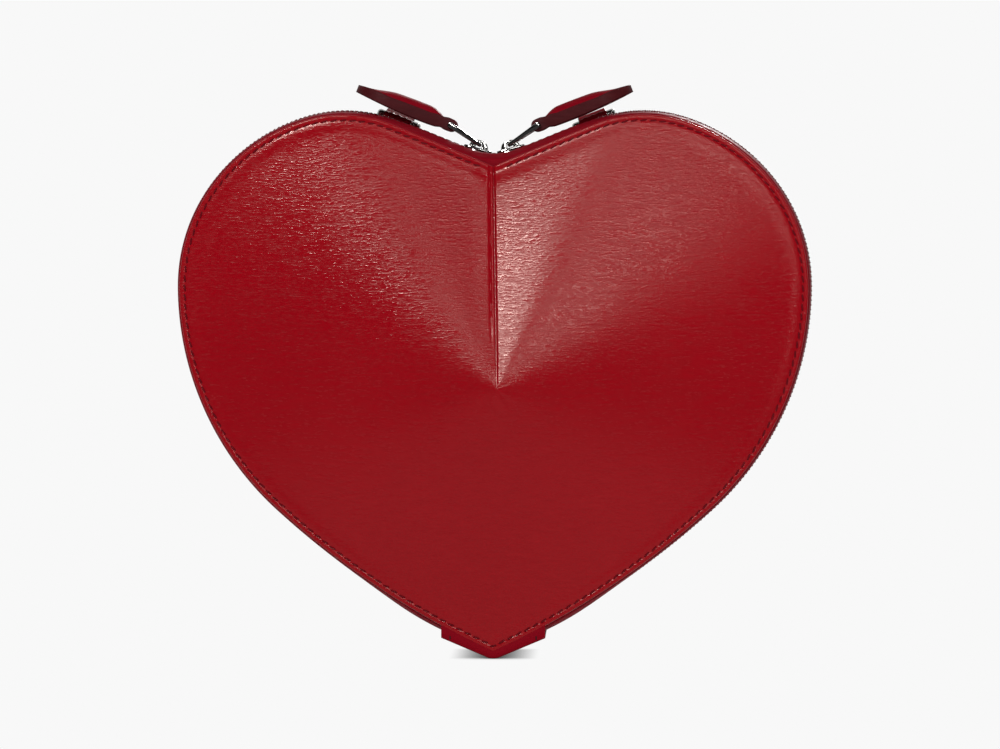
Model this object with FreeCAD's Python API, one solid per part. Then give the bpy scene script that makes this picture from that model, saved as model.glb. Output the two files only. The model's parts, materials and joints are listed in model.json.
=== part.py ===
import FreeCAD, Part
import math
import os

# Heart-shaped zip purse, built standing on its tip
# Millimetres and degrees; X to the right, Y from front to back, Z up
# The zip parts the purse in the plane y = 0, the front half lies at y < 0

# Heart outline, taken along the cut edge of the panels
heart_width = 209.6
crown_height = 181.6
crown_spacing = 100.0
crown_past_top = 17.0
notch_depth = 17.1
ramp_slope = 23.0
ramp_radius = 2500.0
hip_drop = 57.3
tip_slope = 24.6

# Depth of the purse
seam_depth = 30.0
dome_rise = 12.0
dart_length = 73.5
seam_margin = 4.5

# Leather, board and lining
panel_leather = 1.6
board_thickness = 0.8
board_inset = 6.4
lining_thickness = 0.5
lining_inset = 2.0
skirt_edge = 6.8
glue_gap = 0.1
lining_ease = 0.6

# Fold of the dart, from the notch down to where it fades out
fold_width = 2.3
fold_height = 0.9
fold_root = 0.8
fold_length = 52.6
fold_end_scale = 0.3

# Slip pocket on the back lining
pocket_width = 90.0
pocket_height = 64.0
pocket_below_notch = 52.6
pocket_thickness = 0.6

# Gusset
gusset_leather = 1.2
gusset_foot = 0.5
gusset_proud = 1.2
gusset_crest = 9.4
gusset_edge = 5.2
flange_reach = 4.3
flange_thickness = 1.4
notch_round = 20.0

# Zip
tape_thickness = 0.6
tape_lap = 9.0
coil_inner = 0.5
coil_outer = 3.2
coil_height = 2.0
coil_round = 0.9
coil_end = 18.6
parting_gap = 0.15

# Leather tab over the tip
tab_leather = 1.0
tab_slope = 23.0
tab_reach = 17.4
tab_round = 6.0
fit_gap = 0.1

# Zip slider, along the ramp by the notch
nose_gap = 1.6
slider_length = 9.5
slider_tail_half = 4.4
slider_nose_half = 4.85
slider_corner = 1.5
plate_thickness = 0.9
roof_gap = 0.3
nose_lift = 1.2
floor_gap = 0.35
flange_gap = 0.3
flange_above_tape = 0.5
divider_length = 2.4
divider_half = 0.35

# Bridge of the slider
bridge_length = 6.4
bridge_top_length = 4.0
bridge_height = 2.2
bridge_half = 1.2
bridge_bore = 0.75
bore_height = 1.05

# Metal link of the pull
link_length = 11.4
link_pin = 0.65
link_bar = 0.9
link_narrow_inner = 1.5
link_wide_inner = 4.2
link_arm = 1.1

# Leather pull
pull_fall = 1.3
pull_leather = 1.15
pull_length = 34.0
pull_belly_at = 13.0
pull_belly = 1.3
pull_tip_gap = 0.1
pull_loop_half = 3.4
pull_neck_end = 2.5
pull_wide_half = 6.5
pull_wide_at = 23.0
pull_rest_gap = 2.3
loop_fit = 0.1
core_gap = 0.08
core_inset = 1.1
core_start = 2.4

# Strap tab and ring on the back half
strap_at = 34.0
strap_tab_half = 5.0
strap_tab_front = 7.2
strap_tab_leaf = 1.1
ring_wire = 1.2
ring_fit = 0.1
ring_bar_depth = 17.6
ring_side_gap = 0.4
ring_leg = 3.0
ring_lean = 8.0

# Levels worked out from the sizes above
notch_height = crown_height - notch_depth
hip_height = crown_height - hip_drop
apex_height = notch_height - dart_length
fold_end_height = notch_height - fold_length
pocket_top = notch_height - pocket_below_notch
pocket_bottom = pocket_top - pocket_height
rim_y = -seam_depth / 2
panel_back_y = rim_y + panel_leather
flange_back_y = panel_back_y + flange_thickness
board_y = panel_back_y + glue_gap
lining_y = board_y + board_thickness + lining_ease
tape_top = gusset_proud - gusset_leather - fit_gap / 2
coil_top = tape_top + coil_height
tip_height = tab_leather + fit_gap + gusset_proud / math.cos(math.radians(tip_slope))


def point(x, y, z):
    return FreeCAD.Vector(x, y, z)


def dot(a, b):
    return a[0] * b[0] + a[1] * b[1]


def along(start, direction, distance):
    return (start[0] + direction[0] * distance, start[1] + direction[1] * distance)


def heading(angle):
    """Unit direction in the X-Z plane, the angle taken from X towards Z."""
    return (math.cos(math.radians(angle)), math.sin(math.radians(angle)))


def bearing(centre, target):
    return math.degrees(math.atan2(target[1] - centre[1], target[0] - centre[0]))


def turning_centre(start, direction, passing):
    """Centre and radius of the clockwise arc that leaves start along direction."""
    chord = (passing[0] - start[0], passing[1] - start[1])
    right = (direction[1], -direction[0])
    radius = dot(chord, chord) / (2 * dot(chord, right))
    return along(start, right, radius), radius


def biarc(start, start_dir, end, end_dir):
    """Two tangent arcs from start to end, as (centre, radius, first angle, last angle)."""
    chord = (end[0] - start[0], end[1] - start[1])
    both = (start_dir[0] + end_dir[0], start_dir[1] + end_dir[1])
    turn = 2 * (1 - dot(start_dir, end_dir))
    lean = 2 * dot(chord, both)
    reach = (-lean + math.sqrt(lean * lean + 4 * turn * dot(chord, chord))) / (2 * turn)
    near = along(start, start_dir, reach)
    far = along(end, end_dir, -reach)
    meet = ((near[0] + far[0]) / 2, (near[1] + far[1]) / 2)
    centre_a, radius_a = turning_centre(start, start_dir, meet)
    centre_b, radius_b = turning_centre(end, end_dir, meet)
    first = (centre_a, radius_a, bearing(centre_a, start), bearing(centre_a, meet))
    second = (centre_b, radius_b, bearing(centre_b, meet), bearing(centre_b, end))
    return [first, second]


# Right half of the outline: ramp up from the notch, crown arc, shoulder pair and flank pair
notch = (0.0, notch_height)
ramp_centre = along(notch, heading(ramp_slope - 90), ramp_radius)
crown_top = (crown_spacing / 2, crown_height)
crown_span = (crown_top[0] - ramp_centre[0], crown_top[1] - ramp_centre[1])
crown_radius = (dot(crown_span, crown_span) - ramp_radius ** 2) / (2 * (crown_span[1] - ramp_radius))
crown_centre = (crown_top[0], crown_top[1] - crown_radius)
crown_start_angle = bearing(ramp_centre, crown_centre)
crown_end_angle = 90 - crown_past_top
crown_end = along(crown_centre, heading(crown_end_angle), crown_radius)
hip = (heart_width / 2, hip_height)
tip = (0.0, tip_height)
ramp = (ramp_centre, ramp_radius, bearing(ramp_centre, notch), crown_start_angle)
crown = (crown_centre, crown_radius, crown_start_angle, crown_end_angle)
shoulders = biarc(crown_end, heading(-crown_past_top), hip, (0.0, -1.0))
flanks = biarc(hip, (0.0, -1.0), tip, heading(180 + tip_slope))
outline = [ramp, crown] + shoulders + flanks

# Circle that rounds the gusset and the zip through the notch
bend_height = math.sqrt((ramp_radius + notch_round) ** 2 - ramp_centre[0] ** 2)
bend_centre = (0.0, ramp_centre[1] + bend_height)
bend_angle = bearing(bend_centre, ramp_centre)


def half_outline(offset, rounded):
    """Arcs of the right half, moved outwards by offset and trimmed to x = 0."""
    arcs = [(centre, radius + offset, first, last) for centre, radius, first, last in outline]
    centre, radius, first, last = arcs[0]
    if rounded:
        first = bend_angle + 180
    else:
        first = math.degrees(math.acos(-centre[0] / radius))
    arcs[0] = (centre, radius, first, last)
    centre, radius, first, last = arcs[-1]
    arcs[-1] = (centre, radius, first, -math.degrees(math.acos(-centre[0] / radius)))
    if rounded:
        arcs.insert(0, (bend_centre, notch_round - offset, -90, bend_angle))
    return arcs


def on_circle(centre, radius, angle, y):
    x, z = along(centre, heading(angle), radius)
    return point(x, y, z)


def arc_edge(centre, radius, first, last, y):
    middle = (first + last) / 2
    ends = [on_circle(centre, radius, angle, y) for angle in (first, middle, last)]
    return Part.Arc(ends[0], ends[1], ends[2]).toShape()


def mirror_x(shape):
    return shape.mirror(point(0, 0, 0), point(1, 0, 0))


def mirror_y(shape):
    return shape.mirror(point(0, 0, 0), point(0, 1, 0))


def heart_wire(offset, y, rounded):
    right = [arc_edge(*arc, y) for arc in half_outline(offset, rounded)]
    left = [mirror_x(edge) for edge in right]
    return Part.Wire(Part.sortEdges(right + left)[0])


def heart_plate(offset, y0, y1, rounded=False):
    return Part.Face(heart_wire(offset, y0, rounded)).extrude(point(0, y1 - y0, 0))


def heart_ring(outer, inner, y0, y1):
    return heart_plate(outer, y0, y1, True).cut(heart_plate(inner, y0, y1, True))


def heart_taper(outer, y0, wide, y1):
    """Solid heart whose outline grows from outer at y0 to wide at y1."""
    return Part.makeLoft([heart_wire(outer, y0, True), heart_wire(wide, y1, True)], True, True)


def dome(base_y):
    apex = Part.Vertex(0, base_y - dome_rise, apex_height)
    return Part.makeLoft([heart_wire(-seam_margin, base_y, False), apex], True, True)


def dome_sheet(offset, face_y, thickness):
    """Sheet that lies flat along the seam and rises as a cone to the end of the dart."""
    sheet = heart_plate(offset, face_y, face_y + thickness).fuse(dome(face_y))
    sheet = sheet.cut(dome(face_y + thickness))
    return sheet.common(heart_plate(offset, face_y - 2 * dome_rise, face_y + thickness))


def polygon(corners):
    return Part.makePolygon(corners + [corners[0]])


def box(x0, x1, y0, y1, z0, z1):
    return Part.makeBox(x1 - x0, y1 - y0, z1 - z0, point(x0, y0, z0))


def dart_fold():
    """Turned edge that laps over the dart line from the left."""
    margin_radius = ramp_radius - seam_margin
    valley_top = ramp_centre[1] + math.sqrt(margin_radius ** 2 - ramp_centre[0] ** 2)
    share = (valley_top - fold_end_height) / (valley_top - apex_height)
    stations = [(notch_height - fit_gap, rim_y, 1.0), (valley_top, rim_y, 1.0)]
    stations.append((fold_end_height, rim_y - dome_rise * share, fold_end_scale))
    rings = []
    for z, y, scale in stations:
        corners = [(0, fold_root), (0, -fold_height * scale), (-fold_width * scale, -fold_height * scale)]
        corners.append((-fold_width * scale, fold_root))
        rings.append(polygon([point(x, y + dy, z) for x, dy in corners]))
    return Part.makeLoft(rings, True, True)


def make_panel():
    return dome_sheet(0, rim_y, panel_leather).fuse(dart_fold()).removeSplitter()


def make_board():
    return dome_sheet(-board_inset, board_y, board_thickness)


def make_lining():
    sheet = dome_sheet(-lining_inset, lining_y, lining_thickness)
    skirt = heart_ring(-lining_inset, -lining_inset - lining_thickness, lining_y, -skirt_edge)
    return sheet.fuse(skirt).removeSplitter()


def make_pocket():
    face_y = lining_y + lining_thickness + glue_gap
    sheet = dome_sheet(-lining_inset, face_y, pocket_thickness)
    half = pocket_width / 2
    return sheet.common(box(-half, half, 2 * rim_y - dome_rise, 0, pocket_bottom, pocket_top))


def make_gusset():
    """Wall that leans out from the panel to its crest and runs level to the zip, with a sewn flange."""
    inside = gusset_proud - gusset_leather
    slope = heart_taper(gusset_foot, panel_back_y, gusset_proud, -gusset_crest)
    slope = slope.cut(heart_taper(gusset_foot - gusset_leather, panel_back_y, inside, -gusset_crest))
    level = heart_ring(gusset_proud, inside, -gusset_crest, -gusset_edge)
    flange = heart_ring(gusset_foot, -flange_reach, panel_back_y, flange_back_y)
    return slope.multiFuse([level, flange]).removeSplitter()


def make_tape():
    return heart_ring(tape_top, tape_top - tape_thickness, -tape_lap, -coil_inner)


def coil_section(centre, radius, angle, side):
    """Half-round section of the coil across the path, side is +1 away from centre."""
    def at(height, y):
        return on_circle(centre, radius + side * height, angle, y)

    slant = coil_round * (1 - math.sqrt(0.5))
    top = coil_top
    shoulder = coil_top - coil_round
    edges = [
        Part.makeLine(at(tape_top, -coil_inner), at(tape_top, -coil_outer)),
        Part.makeLine(at(tape_top, -coil_outer), at(shoulder, -coil_outer)),
        Part.Arc(
            at(shoulder, -coil_outer),
            at(top - slant, -coil_outer + slant),
            at(top, -coil_outer + coil_round),
        ).toShape(),
        Part.makeLine(at(top, -coil_outer + coil_round), at(top, -coil_inner - coil_round)),
        Part.Arc(
            at(top, -coil_inner - coil_round),
            at(top - slant, -coil_inner - slant),
            at(shoulder, -coil_inner),
        ).toShape(),
        Part.makeLine(at(shoulder, -coil_inner), at(tape_top, -coil_inner)),
    ]
    return Part.Face(Part.Wire(edges))


def sweep_coil(centre, radius, first, last, side):
    section = coil_section(centre, radius, first, side)
    return section.revolve(point(centre[0], 0, centre[1]), point(0, 1, 0), first - last)


def make_coil():
    right = []
    for centre, radius, first, last in half_outline(0, True)[1:-1]:
        right.append(sweep_coil(centre, radius, first, last, 1))
    centre, radius, first, last = half_outline(0, True)[-1]
    stop = -math.degrees(math.acos((coil_end - centre[0]) / radius))
    right.append(sweep_coil(centre, radius, first, stop, 1))
    bend = sweep_coil(bend_centre, notch_round, -180 - bend_angle, bend_angle, -1)
    left = [mirror_x(piece) for piece in right]
    return bend.multiFuse(right + left).removeSplitter()


def tab_edge(radius):
    """Rounded V of the tab at the given radius about its rounding centre, right end first."""
    end_x = tab_reach
    centre = (0.0, tab_round)
    turn = on_circle(centre, radius, tab_slope - 90, 0)
    direction = heading(tab_slope)
    run = (end_x - turn.x) / direction[0]
    end = point(turn.x + direction[0] * run, 0, turn.z + direction[1] * run)
    return end, turn, on_circle(centre, radius, -90, 0)


def make_tab():
    end, turn, bottom = tab_edge(tab_round)
    inner_end, inner_turn, inner_bottom = tab_edge(tab_round - tab_leather)
    flip = [mirror_x(Part.Vertex(p)).Point for p in (end, turn, inner_end, inner_turn)]
    edges = [
        Part.makeLine(end, turn),
        Part.Arc(turn, bottom, flip[1]).toShape(),
        Part.makeLine(flip[1], flip[0]),
        Part.makeLine(flip[0], flip[2]),
        Part.makeLine(flip[2], flip[3]),
        Part.Arc(flip[3], inner_bottom, inner_turn).toShape(),
        Part.makeLine(inner_turn, inner_end),
        Part.makeLine(inner_end, end),
    ]
    saddle = Part.Face(Part.Wire(edges))
    saddle.translate(point(0, rim_y, 0))
    saddle = saddle.extrude(point(0, -rim_y - parting_gap, 0))
    above = end.z + tab_round
    lip_edges = edges[:3]
    lip_edges.append(Part.makeLine(flip[0], point(flip[0].x, 0, above)))
    lip_edges.append(Part.makeLine(point(flip[0].x, 0, above), point(end.x, 0, above)))
    lip_edges.append(Part.makeLine(point(end.x, 0, above), end))
    lip = Part.Face(Part.Wire(lip_edges))
    lip.translate(point(0, rim_y, 0))
    lip = lip.extrude(point(0, panel_leather - fit_gap, 0))
    lip = lip.cut(heart_plate(fit_gap, rim_y - 1, panel_back_y + 1))
    return saddle.fuse(lip).removeSplitter()


def place(shape, origin, tilt):
    """Copy of a shape drawn in its own frame, its X axis turned up by tilt."""
    placed = shape.copy()
    turn = FreeCAD.Rotation(point(0, 1, 0), -tilt)
    placed.Placement = FreeCAD.Placement(point(origin[0], 0, origin[1]), turn)
    return placed


def profile_prism(corners, half):
    """Prism across the purse from corners given as (x, z)."""
    face = Part.Face(polygon([point(x, -half, z) for x, z in corners]))
    return face.extrude(point(0, 2 * half, 0))


# Frame of the right slider on the ramp, its nose half the gap from the middle
roof_tail = coil_top + roof_gap
roof_nose = roof_tail + nose_lift
nose_level = ramp_radius + roof_nose + plate_thickness
nose_reach = math.hypot(nose_level, slider_length / 2)
nose_angle = math.degrees(math.asin((ramp_centre[0] - nose_gap / 2) / nose_reach))
slider_angle = nose_angle - math.degrees(math.atan2(slider_length / 2, nose_level))
slider_heading = 90 + slider_angle
slider_origin = along(ramp_centre, heading(slider_heading), ramp_radius)
floor = tape_top - tape_thickness - floor_gap
roof_tilt = math.degrees(math.atan2(nose_lift, slider_length))


def make_slider_body():
    half = slider_length / 2
    wide = slider_nose_half
    roof = [(-half, roof_nose), (half, roof_tail)]
    top = profile_prism(roof + [(half, roof_tail + plate_thickness), (-half, roof_nose + plate_thickness)], wide)
    low = tape_top + flange_above_tape
    sides = profile_prism(
        [(-half, low + nose_lift), (half, low), (half, roof_tail + fit_gap), (-half, roof_nose + fit_gap)], wide
    )
    inner = coil_outer + flange_gap
    sides = sides.cut(box(-half - 1, half + 1, -inner, inner, floor, roof_nose + 1))
    bottom = box(-half, half, -wide, wide, floor - plate_thickness, floor)
    divider = box(-half, divider_length - half, -divider_half, divider_half, floor - fit_gap, roof_nose)
    body = top.multiFuse([sides, bottom, divider])
    plan = [(-half, wide), (half, slider_tail_half), (half, -slider_tail_half), (-half, -wide)]
    base = floor - plate_thickness - 1
    trim = Part.Face(polygon([point(x, y, base) for x, y in plan])).extrude(point(0, 0, 12))
    upright = [edge for edge in trim.Edges if abs(edge.Vertexes[0].X - edge.Vertexes[-1].X) < 1e-6
               and abs(edge.Vertexes[0].Y - edge.Vertexes[-1].Y) < 1e-6]
    trim = trim.makeFillet(slider_corner, upright)
    return body.common(trim).removeSplitter()


def make_slider_bridge():
    """Cap on the slider in its own frame: origin on the plate, Z off the plate."""
    base = bridge_length / 2
    top = bridge_top_length / 2
    cap = profile_prism([(-base, 0), (base, 0), (top, bridge_height), (-top, bridge_height)], bridge_half)
    bore = Part.makeCylinder(bridge_bore, 4 * bridge_half, point(0, -2 * bridge_half, bore_height), point(0, 1, 0))
    return cap.cut(bore)


# Frames of the right bridge, link and pull, as (origin, tilt)
plate_mid = (roof_tail + roof_nose) / 2 + plate_thickness / math.cos(math.radians(roof_tilt))
plate_heading = slider_angle - roof_tilt
bridge_origin = along(slider_origin, heading(slider_heading), plate_mid)
pivot = along(bridge_origin, heading(plate_heading + 90), bore_height)
pull_angle = slider_angle - pull_fall
pull_half = pull_belly + pull_leather
pull_level = ramp_radius + coil_top + pull_rest_gap + pull_half
pull_up = heading(pull_angle + 90)
pivot_level = dot((pivot[0] - ramp_centre[0], pivot[1] - ramp_centre[1]), pull_up)
link_angle = pull_angle + math.degrees(math.asin((pull_level - pivot_level) / link_length))
bar = along(pivot, heading(link_angle), link_length)


def make_link():
    """Flat loop in its own frame: pin on the origin, leather bar on X."""
    reach = link_narrow_inner + link_arm
    wide = link_wide_inner + link_arm
    pin = Part.makeCylinder(link_pin, 2 * reach, point(0, -reach, 0), point(0, 1, 0))
    bar_rod = Part.makeCylinder(link_bar, 2 * wide, point(link_length, -wide, 0), point(0, 1, 0))
    near = [(0, link_narrow_inner, -link_pin), (0, reach, -link_pin), (0, reach, link_pin),
            (0, link_narrow_inner, link_pin)]
    far = [(link_length, link_wide_inner, -link_bar), (link_length, wide, -link_bar),
           (link_length, wide, link_bar), (link_length, link_wide_inner, link_bar)]
    rings = [polygon([point(*corner) for corner in ring]) for ring in (near, far)]
    arm = Part.makeLoft(rings, True, True)
    return pin.multiFuse([bar_rod, arm, mirror_y(arm)]).removeSplitter()


def pull_plan(inset, start):
    """Outline of the pull seen from above, as a tall prism."""
    loop = pull_loop_half - inset
    wide = pull_wide_half - inset
    end = pull_length - inset
    high = 4 * pull_half
    right = [point(start, loop, -high), point(pull_neck_end, loop, -high), point(pull_wide_at, wide, -high)]
    left = [point(p.x, -p.y, p.z) for p in right]
    edges = [Part.makeLine(right[0], right[1]), Part.makeLine(right[1], right[2])]
    edges.append(Part.Arc(right[2], point(end, 0, -high), left[2]).toShape())
    edges += [Part.makeLine(left[2], left[1]), Part.makeLine(left[1], left[0])]
    edges.append(Part.makeLine(left[0], right[0]))
    return Part.Face(Part.Wire(edges)).extrude(point(0, 0, 2 * high))


def belly_arc(rise, half, sign):
    """Arc of one leaf from the loop to the tip, rise outside the core."""
    start = point(0, half, sign * (link_bar + loop_fit + rise))
    middle = point(pull_belly_at, half, sign * (pull_belly + rise))
    end = point(pull_length, half, sign * (pull_tip_gap + rise))
    return Part.Arc(start, middle, end).toShape()


def loop_arc(radius, half):
    return Part.Arc(point(0, half, radius), point(-radius, half, 0), point(0, half, -radius)).toShape()


def make_pull_leather():
    half = -pull_wide_half
    inner = link_bar + loop_fit
    outer = inner + pull_leather
    edges = [belly_arc(pull_leather, half, 1), belly_arc(pull_leather, half, -1)]
    edges += [belly_arc(0, half, 1), belly_arc(0, half, -1)]
    edges += [loop_arc(outer, half), loop_arc(inner, half)]
    tip_in = pull_tip_gap
    tip_out = pull_tip_gap + pull_leather
    for sign in (1, -1):
        edges.append(Part.makeLine(point(pull_length, half, sign * tip_in), point(pull_length, half, sign * tip_out)))
    strip = Part.Face(Part.Wire(Part.sortEdges(edges)[0])).extrude(point(0, 2 * pull_wide_half, 0))
    return strip.common(pull_plan(0, -2 * outer))


def make_pull_core():
    half = -pull_wide_half
    upper = belly_arc(-core_gap, half, 1)
    lower = belly_arc(-core_gap, half, -1)
    edges = [upper, lower]
    for end in (0, -1):
        edges.append(Part.makeLine(upper.Vertexes[end].Point, lower.Vertexes[end].Point))
    lens = Part.Face(Part.Wire(Part.sortEdges(edges)[0])).extrude(point(0, 2 * pull_wide_half, 0))
    return lens.common(pull_plan(core_inset, core_start))


# Frame of the right strap tab, on the outside of the gusset
strap_angle = math.degrees(math.asin((crown_centre[0] - strap_at) / crown_radius))
strap_origin = along(crown_centre, heading(90 + strap_angle), crown_radius + gusset_proud)
ring_level = fit_gap / 2 + strap_tab_leaf
ring_origin = along(strap_origin, heading(90 + strap_angle), ring_level)


def make_strap_tab():
    """Two leaves on the gusset that go round the bar of the ring."""
    loop = ring_wire + ring_fit
    leaves = box(-strap_tab_half, strap_tab_half, strap_tab_front, ring_bar_depth,
                 fit_gap / 2, fit_gap / 2 + 2 * strap_tab_leaf)
    start = point(-strap_tab_half, ring_bar_depth, ring_level)
    turn = Part.makeCylinder(loop + strap_tab_leaf, 2 * strap_tab_half, start, point(1, 0, 0))
    bore = Part.makeCylinder(loop, 2 * strap_tab_half, start, point(1, 0, 0))
    return leaves.fuse(turn).cut(bore).removeSplitter()


def make_strap_ring():
    """Ring in the frame of its bar, hanging down and a little backwards."""
    span = strap_tab_half + ring_side_gap + ring_wire
    rod = Part.makeCylinder(ring_wire, 2 * span, point(-span, 0, 0), point(1, 0, 0))
    pieces = []
    for side in (-span, span):
        pieces.append(Part.makeSphere(ring_wire, point(side, 0, 0)))
        pieces.append(Part.makeCylinder(ring_wire, ring_leg, point(side, 0, 0), point(0, 0, -1)))
    section = Part.Face(Part.Wire(Part.makeCircle(ring_wire, point(span, 0, -ring_leg), point(0, 0, 1))))
    pieces.append(section.revolve(point(0, 0, -ring_leg), point(0, 1, 0), 180))
    ring = rod.multiFuse(pieces).removeSplitter()
    ring.rotate(point(0, 0, 0), point(1, 0, 0), ring_lean)
    ring.translate(point(0, ring_bar_depth, 0))
    return ring


def placed_ring():
    ring = make_strap_ring()
    ring.Placement = place(Part.makeSphere(1), ring_origin, strap_angle).Placement.multiply(ring.Placement)
    return ring


front = {
    "panel": make_panel(),
    "board": make_board(),
    "lining": make_lining(),
    "gusset": make_gusset(),
    "zip_tape": make_tape(),
    "zip_coil": make_coil(),
    "tip_tab": make_tab(),
}
right = {
    "slider_body": place(make_slider_body(), slider_origin, slider_angle),
    "slider_bridge": place(make_slider_bridge(), bridge_origin, plate_heading),
    "pull_link": place(make_link(), pivot, link_angle),
    "pull_leather": place(make_pull_leather(), bar, pull_angle),
    "pull_core": place(make_pull_core(), bar, pull_angle),
    "strap_tab": place(make_strap_tab(), strap_origin, strap_angle),
    "strap_ring": placed_ring(),
}
nodes = {"slip_pocket": mirror_y(make_pocket())}
for name, shape in front.items():
    nodes["front_" + name] = shape
    nodes["back_" + name] = mirror_y(shape)
for name, shape in right.items():
    nodes["right_" + name] = shape
    nodes["left_" + name] = mirror_x(shape)

os.makedirs("parts", exist_ok=True)
for name, shape in sorted(nodes.items()):
    shape.exportStep("parts/" + name + ".step")

print("crown centre", crown_centre, "radius", crown_radius, "from", crown_start_angle)
print("slider place", slider_origin, "slope", slider_angle)
print("link pin", pivot, "link angle", link_angle)
print("leather bar", bar)
print("ring bar", ring_origin, "depth", ring_bar_depth, "slope", strap_angle)
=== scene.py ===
"""Heart shaped purse: leather, zip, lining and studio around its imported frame."""

import json
import math

import bmesh
import bpy
import numpy as np
from bpy.props import FloatProperty, FloatVectorProperty, PointerProperty
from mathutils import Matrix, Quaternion, Vector


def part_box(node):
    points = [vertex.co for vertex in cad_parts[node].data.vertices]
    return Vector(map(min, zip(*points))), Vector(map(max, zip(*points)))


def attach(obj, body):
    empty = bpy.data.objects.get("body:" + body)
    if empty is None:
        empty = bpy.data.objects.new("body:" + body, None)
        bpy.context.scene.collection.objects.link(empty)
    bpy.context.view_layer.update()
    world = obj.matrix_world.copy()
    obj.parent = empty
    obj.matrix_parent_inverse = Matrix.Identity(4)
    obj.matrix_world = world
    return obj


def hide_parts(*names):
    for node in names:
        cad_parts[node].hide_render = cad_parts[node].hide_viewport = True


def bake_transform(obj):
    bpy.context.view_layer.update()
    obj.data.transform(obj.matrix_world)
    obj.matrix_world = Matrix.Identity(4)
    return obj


bl_info = {
    "name": "Heart shaped purse",
    "version": (1, 0, 0),
    "blender": (4, 5, 0),
    "location": "View3D > Sidebar > Purse",
    "description": "Dresses the frame of a heart shaped zip purse in leather",
    "category": "Object",
}

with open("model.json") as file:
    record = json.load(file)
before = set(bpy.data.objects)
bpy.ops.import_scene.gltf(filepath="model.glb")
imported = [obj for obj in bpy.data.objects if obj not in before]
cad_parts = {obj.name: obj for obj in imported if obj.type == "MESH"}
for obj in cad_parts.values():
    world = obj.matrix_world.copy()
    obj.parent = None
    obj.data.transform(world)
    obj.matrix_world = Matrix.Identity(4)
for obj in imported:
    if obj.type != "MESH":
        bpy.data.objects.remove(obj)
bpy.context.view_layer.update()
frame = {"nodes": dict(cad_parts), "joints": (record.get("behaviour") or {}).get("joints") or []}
joints = {joint["name"]: joint for joint in frame["joints"]}

MM = 0.001
SIDES = {"right": 1.0, "left": -1.0}
HALVES = {"front": 1.0, "back": -1.0}

# Angles past which an edge is rounded, or shaded as an edge
ROUNDED_EDGE = math.radians(30.0)
NODE_EDGE = math.radians(30.0)
PIECE_EDGE = math.radians(35.0)
THREAD_EDGE = math.radians(80.0)


# Properties

def size(label, default, text):
    return FloatProperty(name=label, description=text, default=default, min=0.0, unit="LENGTH", precision=5)


def turn(label, degrees, text):
    return FloatProperty(name=label, description=text, default=math.radians(degrees), unit="ROTATION")


def share(label, default, text):
    return FloatProperty(name=label, description=text, default=default, min=0.0, max=1.0, subtype="FACTOR")


def shade(label, default, text):
    return FloatVectorProperty(
        name=label, description=text, default=default, min=0.0, max=1.0, subtype="COLOR"
    )


def offset(label, default, text):
    return FloatProperty(name=label, description=text, default=default, unit="LENGTH")


def lamp_power(label, default, text):
    return FloatProperty(name=label, description=text, default=default, min=0.0, unit="POWER")


class PurseShape(bpy.types.PropertyGroup):
    """Outline and depth of the purse."""

    heart_width: size("Heart width", 0.2096, "Across the hips, along the cut edge of the panels")
    crown_height: size("Crown height", 0.1816, "Top of the two lobes above the floor")
    crown_spacing: size("Crown spacing", 0.100, "Between the tops of the two lobes")
    crown_past_top: turn("Crown past top", 17.0, "How far the crown arc runs past the top of a lobe")
    notch_depth: size("Notch depth", 0.0171, "From the tops of the lobes down to the notch")
    ramp_slope: turn("Ramp slope", 23.0, "Rise of the outline where it leaves the notch")
    ramp_radius: size("Ramp radius", 2.5, "Bend of the nearly straight ramp beside the notch")
    hip_drop: size("Hip drop", 0.0573, "From the tops of the lobes down to the widest place")
    tip_slope: turn("Tip slope", 24.6, "Rise of the outline where it leaves the tip")
    tip_height: size("Tip height", 0.00242, "Cut edge of the panels above the floor, at the tip")
    seam_depth: size("Seam depth", 0.030, "Between the faces of the two panels at the seam")
    dome_rise: size("Dome rise", 0.012, "From the seam to the end of the dart")
    dart_length: size("Dart length", 0.0735, "From the notch down to the end of the dart")
    dart_lean: size("Dart lean", 0.0014, "How far the end of the dart stands to the right")
    seam_margin: size("Seam margin", 0.0045, "Flat border of a panel along its edge")
    notch_round: size("Notch round", 0.020, "Rounding of the gusset and the zip in the notch")


class PurseLeather(bpy.types.PropertyGroup):
    """Leather thicknesses and its sewing."""

    panel: size("Panel leather", 0.0016, "Thickness of the panels")
    edge_round: size("Edge round", 0.00042, "Burnished rounding of the cut edge")
    seam_inset: size("Seam inset", 0.0018, "From the cut edge to the stitches")
    stitch_pitch: size("Stitch pitch", 0.00315, "From one stitch to the next")
    stitch_length: size("Stitch length", 0.0026, "Length of thread that shows")
    thread: size("Thread", 0.00058, "Diameter of the sewing thread")
    groove: size("Stitch groove", 0.00011, "How deep the stitches pull the leather down")
    dart_step: size("Dart step", 0.0004, "How high the lapping edge of the dart stands")
    dart_gap: size("Dart gap", 0.00062, "Width of the dark gap beside the lapping edge")
    dart_crease: size("Dart crease", 0.0014, "From the lapping edge to the scored line")
    valley: size("Valley", 0.0004, "How deep the panel sinks towards the dart")
    valley_reach: size("Valley reach", 0.040, "How far the sinking reaches from the dart")
    tab_reach: size("Tab reach", 0.0174, "Half the width of the leather tab over the tip")
    tab_slope: turn("Tab slope", 23.0, "Rise of the tab from the tip")
    tab_round: size("Tab round", 0.006, "Rounding of the tab under the tip")
    tab_leather: size("Tab leather", 0.0010, "Thickness of the tab over the tip")


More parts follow.
